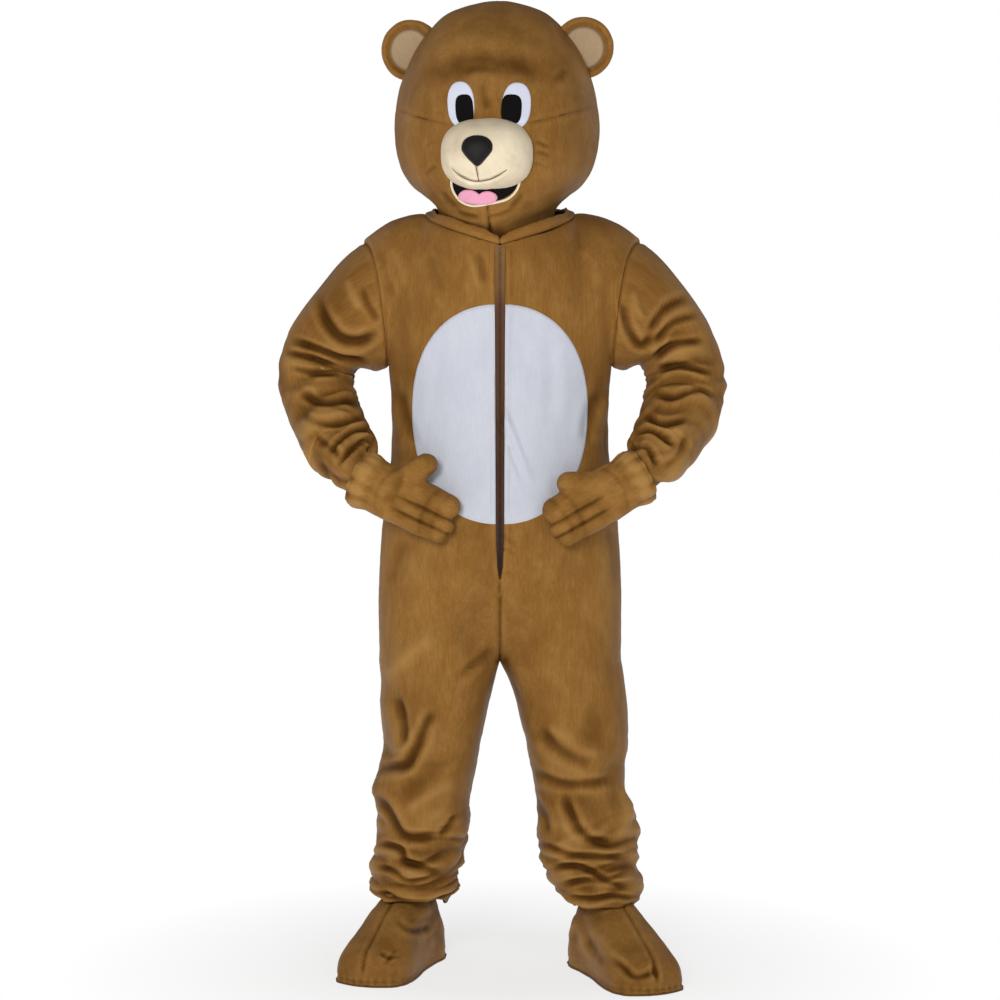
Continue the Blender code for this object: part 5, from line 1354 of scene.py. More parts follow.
def make_belly(tree, materials):
    """The belly oval's two halves, with a line of stitches just inside their edge."""
    made = {}
    for side, sign in SIDES.items():
        line = belly_outline(side)
        centre = np.array((sign * 0.075, BELLY_CENTRE - SHOULDER_HEIGHT))
        piece = pad(f"belly_{side}", tree, line, centre, 0.0026, 0.0050, materials["belly_cloth"], rings=BELLY_RINGS)
        declare(piece, [f"belly_{side}"])
        outer = line[: len(line) - 90]
        inset = centre + (outer - centre) * (1 - STITCH_INSET / np.linalg.norm(outer - centre, axis=1))[:, None]
        fine = smooth_line(inset, 8)
        steps = np.concatenate([[0], np.cumsum(np.linalg.norm(np.diff(fine, axis=0), axis=1))])
        count = int(steps[-1] / STITCH_PITCH)
        tops = BVHTree.FromObject(piece, bpy.context.evaluated_depsgraph_get())
        points, faces = [], []
        for n in range(count):
            ends = [np.array([np.interp((n + t) / count * steps[-1], steps, fine[:, k]) for k in (0, 1)])
                    for t in (0.16, 0.5, 0.84)]
            ends = np.array(ends)
            places, normals = front_hits(tops, ends[:, 0], ends[:, 1])
            ahead = places[2] - places[0]
            ahead /= np.linalg.norm(ahead)
            for k, (place, normal) in enumerate(zip(places, normals)):
                across = np.cross(ahead, normal)
                radius = 0.00045 if k == 1 else 0.0002
                lift = 0.0003 if k == 1 else -0.0002
                for turn in range(5):
                    angle = turn / 5 * 2 * math.pi
                    spoke = across * math.cos(angle) + normal * math.sin(angle)
                    points.append(place + normal * lift + spoke * radius)
            start = n * 15
            for k in range(2):
                for turn in range(5):
                    m = (turn + 1) % 5
                    row = start + k * 5
                    faces.append([row + turn, row + m, row + 5 + m, row + 5 + turn])
            faces.append([start + k for k in (4, 3, 2, 1, 0)])
            faces.append([start + 10 + k for k in range(5)])
        thread = tidy_normals(mesh_object(f"belly_stitches_{side}", points, faces, materials["pale_thread"]))
        declare(thread, [])
        made[side] = (piece, thread)
    return made


ZIP_TOP = 1.3838


ZIP_ROWS, ZIP_PITCH, ZIP_LAST_TOOTH = 240, 0.0023, 0.785


def make_zip(tree, materials):
    """Woven tape down the front with its coil of small teeth, narrowing to its foot."""
    heights = np.linspace(ZIP_TOP, ZIP[-1].height, ZIP_ROWS)
    half = zip_edge(heights) - 0.0003
    share = np.array([-1, -0.96, -0.8, -0.5, -0.22, 0, 0.22, 0.5, 0.8, 0.96, 1])
    x = (half[:, None] * share[None]).reshape(-1)
    z = np.repeat(heights - SHOULDER_HEIGHT, len(share))
    places, normals = front_hits(tree, x, z)
    shape = (len(heights), len(share))
    rise = np.interp(np.abs(share), [0, 0.22, 0.5, 0.96, 1], [0.0008, 0.0010, 0.0014, 0.0016, 0.0010])
    top = places + normals * (0.0004 + np.tile(rise, shape[0]))[:, None]
    ids = np.arange(len(top)).reshape(shape)
    faces = quads_of(ids)
    strip = shell("zip_strip", top, normals, faces[:, ::-1], 0.0009, materials["zip"])
    tidy_normals(strip)
    declare(strip, ["zip_strip"])
    pitch = ZIP_PITCH
    count = int((ZIP_TOP - ZIP_LAST_TOOTH) / pitch)
    middle = ZIP_TOP - 0.003 - np.arange(count) * pitch - SHOULDER_HEIGHT
    spots, ways = front_hits(tree, np.zeros(count), middle)
    ways = ways + np.roll(ways, 1, axis=0) + np.roll(ways, -1, axis=0)
    ways /= np.linalg.norm(ways, axis=1)[:, None]
    points, faces = [], []
    for n in range(count):
        normal = ways[n]
        down = np.array((0.0, 0.0, -1.0)) + normal * normal[2]
        down /= np.linalg.norm(down)
        across = np.cross(down, normal)
        wide = min(0.0026, 0.42 * zip_edge(middle[n] + SHOULDER_HEIGHT))
        shift = across * (0.0007 if n % 2 else -0.0007)
        start = len(points)
        for reach, radius in ((-1.0, 0.0003), (-0.75, 0.0009), (0.75, 0.0009), (1.0, 0.0003)):
            centre = spots[n] + normal * 0.0018 + across * wide * reach + shift
            for turn in range(6):
                angle = turn / 6 * 2 * math.pi
                points.append(centre + (down * math.cos(angle) + normal * math.sin(angle)) * radius)
        for k in range(3):
            for turn in range(6):
                m = (turn + 1) % 6
                row = start + k * 6
                faces.append([row + turn, row + m, row + 6 + m, row + 6 + turn])
        faces.append([start + k for k in range(5, -1, -1)])
        faces.append([start + 18 + k for k in range(6)])
    teeth = tidy_normals(mesh_object("zip_teeth", points, faces, materials["zip"]))
    declare(teeth, [])
    return strip, teeth


# Half the band's thickness, and how far its sides lean in and sit low
COLLAR_HALF, COLLAR_LEAN, COLLAR_DROP = 0.0037, 0.0105, 0.0060


def make_collar(materials):
    """A band that stands on the neckline, its ends meeting in a V over the zip."""
    columns = panel_columns()
    columns = np.unique(np.concatenate([columns[columns < NECK_SHARE], [NECK_SHARE]]))
    path = {}
    for side, sign in SIDES.items():
        front = neck_and_shoulder(side, "front", columns) * (sign, 1, 1)
        back = neck_and_shoulder(side, "back", columns) * (sign, 1, 1)
        path[side] = np.concatenate([front, back[-2::-1]])
    share = np.linspace(0, 1, len(path["left"]))
    line = np.concatenate([path["left"], path["right"][-2::-1]])
    shares = np.concatenate([share, share[-2::-1]])
    stand = read_table(COLLAR, shares)
    inward = line * (-1, -1, 0)
    inward /= np.linalg.norm(inward, axis=1)[:, None]
    wave = lattice_noise(line * 26, 401)[:, None]
    fine = lattice_noise(line * 75, 402)[:, None]
    half = COLLAR_HALF
    beside = bump_at(shares, 0.50, 0.24)[:, None]
    foot = line + (0, 0, 0.0004)
    top = foot + stand[:, 2:3] * inward + stand[:, 1:2] * np.array([0, 0, 1.0])
    top = top - inward * 0.0030 * wave + np.array([0, 0, 0.0022]) * fine
    top = top + beside * (inward * COLLAR_LEAN - np.array([0, 0, COLLAR_DROP]))
    middle = (foot + top) / 2 - inward * (0.0024 * wave + 0.0015 + 0.0012 * fine)
    up = np.array([0, 0, 1.0])
    sections = (
        foot - inward * half * 0.2, foot * 0.6 + middle * 0.4 - inward * half * 1.25,
        middle - inward * half * 1.5, top - inward * half * 1.2 - up * half * 0.6, top + up * half * 0.6,
        top + inward * half * 0.8 - up * half * 0.6, middle + inward * half * 0.8,
        foot + inward * half * 1.3,
    )
    rings = []
    for n in range(len(line)):
        ring = smooth_line([section[n] for section in sections], 4, closed=True)
        rings.append(ring)
    rings = np.array(rings)
    droop = np.exp(-(np.arange(len(line)) / 3.5) ** 2)
    droop = droop + droop[::-1]
    height = (rings[:, :, 2] - foot[:, None, 2]) / 0.02
    rings[:, :, 2] -= droop[:, None] * 0.0040 * height
    rings[:, :, 1] -= droop[:, None] * 0.0025 * height
    for index, sign in ((0, 1), (-1, -1)):
        centre = rings[index].mean(axis=0)
        rings[index] = centre + (rings[index] - centre) * 0.55
        rings[index, :, 0] = sign * 0.0004
        second = 1 if index == 0 else -2
        rings[second, :, 0] = np.maximum(np.abs(rings[second, :, 0]), 0.0018) * sign
    rings[:, :, 2] -= SHOULDER_HEIGHT
    count = rings.shape[1]
    ids = np.arange(rings.shape[0] * count).reshape(rings.shape[0], count)
    faces = quads_of(ids, closed=True).tolist() + [ids[0].tolist(), ids[-1].tolist()]
    points = rings.reshape(-1, 3)
    # Painted shade along the band's outer foot where it meets the suit, and a faint painted highlight on the rest of
    # it.
    painted_relief = np.tile(np.where(np.arange(count) < 3, -0.6, 0.1), rings.shape[0])
    extras = {"nap": points[:, [2, 1, 0]], "painted_relief": painted_relief}
    piece = tidy_normals(mesh_object("suit_collar", points, faces, materials["plush"], extras, sharp=70))
    declare(piece, ["suit_collar"])
    return piece


# The head and its face

HEAD_PLACE = Matrix.Translation((HEAD_CENTRE_X, 0.0, 0.0)) @ Matrix.Rotation(HEAD_YAW, 4, "Z")
HEAD_PLACE = Matrix.Translation((0, 0, -SHOULDER_HEIGHT)) @ HEAD_PLACE
HEAD_NAMES = ("head_forehead", "head_cheek_left", "head_cheek_right", "head_back_left", "head_back_right")


def placed(points, matrix):
    """Points carried by a matrix."""
    turn = np.array(matrix.to_3x3())
    return np.asarray(points) @ turn.T + np.array(matrix.translation)


class Head:
    """The padded head's five pieces on shared points."""

    def __init__(self):
        table = [(k, *ring) for k, ring in enumerate(HEAD)]
        last = len(HEAD) - 1
        spread = np.linspace(0, 1, HEAD_ROWS + 1)
        rows = read_table(table, spread * last)
        rows[:, 4] = np.maximum(rows[:, 4], 0)
        angle = np.arange(HEAD_SPACES) / HEAD_SPACES * 2 * math.pi
        facing = np.cos(angle)[None, :]
        reach = np.where(facing > 0, -rows[:, 5:6], rows[:, 6:7])
        dip = np.where(facing > 0, rows[:, 2:3], rows[:, 3:4]) - rows[:, 1:2]
        x = rows[:, 4:5] * np.sin(angle)[None, :]
        grid = np.stack([x, -facing * reach, rows[:, 1:2] + dip * facing ** 2], axis=2)
        grid[0] = (0.0, HEAD[0].front, HEAD[0].side_height)
        self.seam_row = round(CHEEK_SEAM_RING / last * HEAD_ROWS)
        quarter = HEAD_SPACES // 4
        points, ids = merged([grid])
        ids = ids[0]
        own = self.seams(grid, quarter)
        move = mean_at([ids], [own], len(points))
        quads = quads_of(ids, closed=True, flip=True)
        normals = normals_of(points, quads)
        world = placed(points, HEAD_PLACE)
        turned_normals = normals @ np.array(HEAD_PLACE.to_3x3()).T
        move += crease_depth(HEAD_CREASES, world, turned_normals, 6)
        move += 0.0011 * lattice_noise(points * 16, 501) + 0.0004 * lattice_noise(points * 48, 502)
        self.points = world + turned_normals * move[:, None]
        self.normals = normals_of(self.points, quads)
        # Painted shadow under the chin, on top of painted shade and highlight from the head's seams and creases.
        chin_shadow = step(1.432, 1.412, points[:, 2] + 0.25 * np.abs(points[:, 0]))
        self.painted_relief = np.clip(move / 0.0050 - 0.9 * chin_shadow, -1, 1)
        self.nap = points
        columns = np.tile(np.arange(HEAD_SPACES), HEAD_ROWS)
        rows_of = np.repeat(np.arange(HEAD_ROWS), HEAD_SPACES)
        section = columns // quarter
        front = (section == 0) | (section == 3)
        above = rows_of < self.seam_row
        self.quads = {
            "head_forehead": quads[front & above],
            "head_cheek_left": quads[(section == 0) & ~above],
            "head_cheek_right": quads[(section == 3) & ~above],
            "head_back_left": quads[section == 1],
            "head_back_right": quads[section == 2],
        }
        self.every = quads
        self.tree = BVHTree.FromPolygons(self.points.tolist(), quads.tolist())

    def seams(self, grid, quarter):
        """Grooves along the head's seams."""
        uneven = lattice_noise(grid.reshape(-1, 3) * 60, 503).reshape(grid.shape[:2])
        steps = np.linalg.norm(np.diff(np.concatenate([grid, grid[:, :1]], axis=1), axis=1), axis=2)
        place = np.concatenate([np.zeros((len(grid), 1)), np.cumsum(steps, axis=1)], axis=1)
        whole = place[:, -1:]
        place = place[:, :-1]
        form = np.zeros(grid.shape[:2])
        rows = np.arange(len(grid))[:, None]
        for column in (quarter, 2 * quarter, 3 * quarter):
            gap = np.abs(place - place[:, column:column + 1])
            form += seam_form(np.minimum(gap, whole - gap), uneven) * 0.8 * step(1, 6, rows)
        chin = np.minimum(place, whole - place)
        form += seam_form(chin, uneven) * step(self.seam_row, self.seam_row + 6, rows)
        down = rows_down(grid)
        gap = np.abs(down - down[self.seam_row:self.seam_row + 1])
        columns = np.arange(grid.shape[1])[None, :]
        around = np.minimum(columns, grid.shape[1] - columns)
        seen = bump_at(around, 0.42 * quarter, 0.60 * quarter)
        form += seam_form(gap, uneven) * step(quarter + 0.5, quarter - 2, around) * (0.14 + 0.52 * seen)
        return form

    def build(self, material):
        made = {}
        extras = {"nap": self.nap, "painted_relief": self.painted_relief}
        for name in HEAD_NAMES:
            piece = shell(name, self.points, self.normals, self.quads[name], HEAD_WALL, material, extras)
            declare(piece, [name])
            made[name] = piece
        return made


def outline_in_frame(x, y, half_width, half_height, roundness, tilt=0.0, count=120):
    """A rounded outline in the frame, turned by a few degrees."""
    angle = np.arange(count) / count * 2 * math.pi
    power = 2 / roundness
    a = half_width * signed_power(np.cos(angle), power)
    b = half_height * signed_power(np.sin(angle), power)
    turn = math.radians(tilt)
    return np.stack([x + a * math.cos(turn) - b * math.sin(turn), y + a * math.sin(turn) + b * math.cos(turn)], 1)


def height_over(tree, points):
    """How far each point stands off a surface, below nought inside it."""
    heights = []
    for point in points:
        hit, way, _, _ = tree.find_nearest(Vector(point))
        heights.append((Vector(point) - hit).dot(way))
    return np.array(heights)


MUZZLE_ROWS, MUZZLE_COLUMNS = 70, 132


def make_muzzle(head, materials):
    """The padded dome, with the smile and the line under the nose drawn in."""
    polar = np.linspace(0, math.pi * 0.60, MUZZLE_ROWS)
    angle = np.arange(MUZZLE_COLUMNS) / MUZZLE_COLUMNS * 2 * math.pi
    wide, high = np.abs(np.cos(angle)), np.abs(np.sin(angle))
    stretch = (wide ** MUZZLE.roundness + high ** MUZZLE.roundness) ** (-1 / MUZZLE.roundness)
    ring = np.sin(polar)[:, None]
    x = MUZZLE.x + MUZZLE.half_width * ring * (np.cos(angle) * stretch)[None]
    z = MUZZLE.height + MUZZLE.half_height * ring * (np.sin(angle) * stretch)[None]
    y = MUZZLE_BASE - MUZZLE_DEPTH * np.cos(polar)[:, None] + 0 * x
    grid = np.stack([x, y, z], axis=2)
    points, ids = merged([grid])
    quads = quads_of(ids[0], closed=True)
    normals = normals_of(points, quads)
    outward = points - (MUZZLE.x, MUZZLE_BASE, MUZZLE.height)
    if np.einsum("ij,ij->i", normals, outward).mean() < 0:
        quads = quads[:, ::-1]
        normals = -normals
    world = placed(points, HEAD_PLACE)
    turned = normals @ np.array(HEAD_PLACE.to_3x3()).T
    creases = (
        Crease(((452, 168), (460, 176), (470, 180.5), (479, 181.5), (490, 179.5), (500, 175), (508, 169)), 2.6, -2.6),
        Crease(((475.4, 160), (477, 172), (479, 181)), 2.4, -2.4),
        Crease(((462, 183), (478, 187), (496, 183)), 6, 2.0),
        Crease(((446, 150), (449, 160), (452, 168)), 5, 1.5),
    )
    move = crease_depth(creases, world, turned, 7)
    move += 0.0009 * lattice_noise(points * 30, 601) + 0.0003 * lattice_noise(points * 90, 602)
    moved = world + turned * move[:, None]
    depth = height_over(head.tree, moved)
    edge = np.exp(-(np.clip(depth, 0, 1) / 0.0045) ** 2)
    pucker = 0.0006 * np.sin(np.arctan2(points[:, 2] - MUZZLE.height, points[:, 0]) * 46)
    moved = moved + turned * (edge * (-0.0022 + pucker))[:, None]
    kept = np.all(depth[quads] > -0.006, axis=1)
    quads = quads[kept]
    final = normals_of(moved, quads)
    # Painted shade round the dome's edge where it tucks into the head, and painted shade and highlight from its
    # creases.
    painted_relief = np.clip(move / 0.004 - edge * 0.9, -1, 1)
    extras = {"nap": points, "painted_relief": painted_relief}
    piece = shell("muzzle", moved, final, quads, 0.0030, materials["cream_plush"], extras)
    declare(piece, ["muzzle"])
    tree = BVHTree.FromPolygons(moved.tolist(), quads.tolist())
    threads = []
    for name, line in (
        ("smile_thread", ((452.5, 168.5), (459, 175), (469, 180), (479, 181.3), (490, 179.3),
                          (499, 175), (507, 169.5))),
        ("lip_thread", ((475.4, 163), (477, 172), (479, 181.3))),
    ):
        fine = smooth_line(line, 14)
        places, ways = cast(tree, fine)
        thread = tube(name, places + ways * 0.0002, 0.00075, materials["thread"], 8)
        declare(thread, [])
        threads.append(thread)
    return piece, tree, threads


def make_nose(materials):
    """A padded rounded triangle, wide above and narrow below."""
    polar = np.linspace(0, math.pi, 48)
    angle = np.arange(96) / 96 * 2 * math.pi
    front = MUZZLE_BASE - MUZZLE_DEPTH + 0.004
    ring = np.sin(polar)[:, None] ** 0.82
    x = NOSE.half_width * ring * np.cos(angle)[None]
    z = NOSE.half_height * ring * np.sin(angle)[None]
    y = front - NOSE_DEPTH * signed_power(np.cos(polar), 0.9)[:, None] + 0 * x
    share = z / NOSE.half_height
    x = x * (1 + NOSE_TAPER * np.where(share > 0, 0.4 * share, share))
    grid = np.stack([x + NOSE.x, y, z + NOSE.height], axis=2)
    points, ids = merged([grid])
    quads = quads_of(ids[0], closed=True)
    normals = normals_of(points, quads)
    points = points + normals * (0.0005 * lattice_noise(points * 60, 701))[:, None]
    world = placed(points, HEAD_PLACE)
    piece = tidy_normals(mesh_object("nose", world, clean_quads(quads), materials["nose_cloth"]))
    declare(piece, ["nose"])
    return piece


def make_face(head, materials):
    """Eyes, mouth, lip, tongue, muzzle and nose."""
    made = {}
    tree = head.tree
    for side, white, pupil in (
        ("right", (461.0, 104.5, 13.4, 23.0, 2.3, -3.0), (464.9, 109.4, 8.9, 14.6, 3.0, -3.0)),
        ("left", (516.4, 105.5, 14.4, 23.0, 2.3, 4.0), (511.2, 109.4, 10.2, 14.6, 3.0, 3.0)),
    ):
        for name, shape, base, thick, key in (
            ("eye_white", white, 0.0004, 0.0026, "white_felt"), ("eye_pupil", pupil, 0.0029, 0.0020, "black_felt")
        ):
            line = outline_in_frame(*shape)
            centre = np.array(shape[:2])
            piece = pad(f"{name}_{side}", tree, line, centre, thick, 0.0035, materials[key], 18, base, True)
            declare(piece, [f"{name}_{side}"])
            made[piece.name] = piece
    mouth = outline_in_frame(484.0, 181.0, 34.0, 21.5, 2.15, -4.0)
    middle = np.array((484.0, 181.0))
    piece = pad("mouth", tree, mouth, middle, 0.0014, 0.003, materials["black_felt"], 20, 0.0003, True)
    declare(piece, ["mouth"])
    made["mouth"] = piece
    lip_line = np.array(((453.2, 176), (451.8, 182), (453.5, 190.5), (459.5, 199.5), (468, 204.3), (477, 205.4),
                         (490, 203.3), (505, 199.8), (512.5, 194.8), (517.2, 188.5), (519.3, 181), (518, 175)))
    fine = smooth_line(lip_line, 12)
    places, ways = cast(tree, fine)
    lip = tube("lip", places + ways * 0.0016, 0.0024, materials["cream_plush"], 14)
    nap = np.array([v.co for v in lip.data.vertices])
    for key, values in (("nap", nap), ("painted_relief", np.zeros(len(nap)))):
        kind, slot_key = ("FLOAT", "value") if values.ndim == 1 else ("FLOAT_VECTOR", "vector")
        lip.data.attributes.new(key, kind, "POINT").data.foreach_set(slot_key, values.astype(np.float32).reshape(-1))
    declare(lip, ["lip"])
    made["lip"] = lip
    tongue = smooth_line(((458.5, 198.0), (459.0, 194.0), (463.5, 190.3), (470.5, 189.8), (476.0, 191.8),
                          (479.2, 193.8), (482.5, 192.0), (488.0, 191.2), (494.5, 193.2), (497.4, 197.2), (495.5, 201.0),
                          (487.0, 203.4), (477.0, 204.2), (467.5, 203.2), (461.5, 200.6)), 8, closed=True)
    centre = np.array((478.5, 198.6))
    tree_mouth = BVHTree.FromObject(made["mouth"], bpy.context.evaluated_depsgraph_get())

    def notch(spots):
        line = 478.9
        return -0.0016 * np.exp(-((spots[:, :, 0] - line) / 1.6) ** 2) * step(200, 192, spots[:, :, 1])

    cloth = materials["tongue_cloth"]
    piece = pad("tongue", tree_mouth, tongue, centre, 0.0040, 0.0075, cloth, 22, 0.0003, True, notch)
    declare(piece, ["tongue"])
    made["tongue"] = piece
    made["muzzle"], muzzle_tree, made["threads"] = make_muzzle(head, materials)
    made["nose"] = make_nose(materials)
    return made


def make_ears(head, materials):
    """Stuffed ears with a raised rim, and the beige discs in their dishes."""
    made = {}
    outline = smooth_line([(row.radius_share, row.depth) for row in EAR_PROFILE], 5)
    outline[:, 0] = np.clip(outline[:, 0], 0, 1.02)
    for side, sign in SIDES.items():
        place = Matrix.Translation((sign * EAR.x, EAR.y, EAR.height))
        place = place @ Matrix.Rotation(sign * EAR_LEAN, 4, "Y") @ Matrix.Rotation(sign * EAR_TURN, 4, "Z")
        place = HEAD_PLACE @ place
        for name, line, key in ((f"ear_{side}", outline, "plush"), (f"ear_inner_{side}", None, "beige_plush")):
            if line is None:
                share = np.linspace(0, EAR_INNER_SHARE + 0.01, 16)
                depth = np.interp(share, [row.radius_share for row in EAR_PROFILE[:4]],
                                  [row.depth for row in EAR_PROFILE[:4]])
                top = np.stack([share, depth - 0.0016 - 0.0026 * np.sqrt(np.clip(1 - (share / 0.67) ** 4, 0, 1))], 1)
                under = np.stack([share[::-1], depth[::-1] - 0.0003], axis=1)
                line = np.concatenate([top, under])
            angle = np.arange(112) / 112 * 2 * math.pi
            radius = line[:, :1] * EAR_RADIUS
            x, z = radius * np.cos(angle)[None], radius * np.sin(angle)[None]
            y = line[:, 1:2] + 0 * x
            grid = np.stack([x, y, z], axis=2)
            points, ids = merged([grid])
            quads = quads_of(ids[0], closed=True)
            normals = normals_of(points, quads)
            if np.einsum("ij,ij->i", normals, points - (0, 0.004, 0)).mean() < 0:
                quads, normals = quads[:, ::-1], -normals
            flat = np.hypot(points[:, 0], points[:, 2]) / EAR_RADIUS
            turn = np.arctan2(points[:, 2], points[:, 0])
            move = 0.0007 * lattice_noise(points * 42 + sign * 3.1, 801)
            if key == "plush":
                pucker = 0.5 + 0.5 * np.sin(turn * 17 + 2.0 * np.sin(turn * 3))
                front = points[:, 1] < -0.004
                rim = np.exp(-((flat - 0.70) / 0.07) ** 2) * front
                move = move - rim * (0.0010 + 0.0014 * pucker)
                move -= 0.0018 * np.exp(-((flat - 1.0) / 0.02) ** 2)
                # Painted shade in the rim's puckers and the groove round the edge, from their depth.
                painted_relief = np.clip(move / 0.002, -1, 1)
                # Painted highlight along the front of the raised rim.
                painted_relief = np.maximum(painted_relief, 0.7 * np.exp(-((flat - 0.99) / 0.05) ** 2) * front)
            else:
                # Painted shade round the edge of the beige disc where it sits in the dish.
                painted_relief = np.clip(-0.8 * np.exp(-((flat - 0.66) / 0.05) ** 2), -1, 1)
            points = points + normals * move[:, None]
            world = placed(points, place)
            kept = np.all(height_over(head.tree, world)[quads] > -0.006, axis=1)
            faces = clean_quads(quads[kept])
            extras = {"nap": points, "painted_relief": painted_relief}
            piece = mesh_object(name, world, faces, materials[key], extras, sharp=70)
            drop_loose(piece)
            declare(piece, [name])
            made[name] = piece
    return made


def drop_loose(piece):
    """Delete points that no face uses."""
    shape = bmesh.new()
    shape.from_mesh(piece.data)
    bmesh.ops.delete(shape, geom=[v for v in shape.verts if not v.link_faces], context="VERTS")
    shape.to_mesh(piece.data)
    shape.free()


# Gloves

def hand_frame(hand):
    """The glove's directions: along the hand, across it to the thumb side, and out of its back."""
    along = Vector(hand.axis).normalized()
    across = Vector(hand.across)
    across = (across - along * across.dot(along)).normalized()
    out = along.cross(across)
    if out.y > 0:
        out.negate()
    return along, across, out


def ring_body(rings):
    """A closed body through rings of points, added to nothing yet: its points and faces."""
    rings = np.array(rings)
    count, sides = rings.shape[:2]
    ids = np.arange(count * sides).reshape(count, sides)
    faces = quads_of(ids, closed=True).tolist()
    faces += [ids[0, ::-1].tolist(), ids[-1].tolist()]
    return rings.reshape(-1, 3), faces


def finger_body(line, radii, flat, up):
    """A stuffed roll along a line, rounded at both ends, as local points and faces."""
    line = np.array(line)
    ahead = np.gradient(line, axis=0)
    ahead /= np.linalg.norm(ahead, axis=1)[:, None]
    side = np.cross(ahead, up)
    side /= np.linalg.norm(side, axis=1)[:, None]
    over = np.cross(side, ahead)
    angle = np.arange(32) / 32 * 2 * math.pi
    rings = []
    for place, radius, a, b in zip(line, radii, side, over):
        rings.append(place + radius * (np.cos(angle)[:, None] * a + flat * np.sin(angle)[:, None] * b))
    return ring_body(rings)


FingerRoll = namedtuple("FingerRoll", "across start end radius flat")
FINGER_ROLLS = (
    FingerRoll(0.0215, 0.050, 0.172, 0.0262, 0.86),
    FingerRoll(-0.0125, 0.046, 0.176, 0.0168, 1.38),
    FingerRoll(-0.0345, 0.050, 0.170, 0.0160, 1.36),
)
GLOVE_PALM = (
    (-0.0294, 0.0450, 0.0395), (-0.0270, 0.0490, 0.0435), (-0.0180, 0.0520, 0.0450), (0.000, 0.0500, 0.0425),
    (0.024, 0.0500, 0.0385), (0.048, 0.0512, 0.0335), (0.072, 0.0490, 0.0270), (0.090, 0.0440, 0.0190),
    (0.098, 0.0360, 0.0110),
)


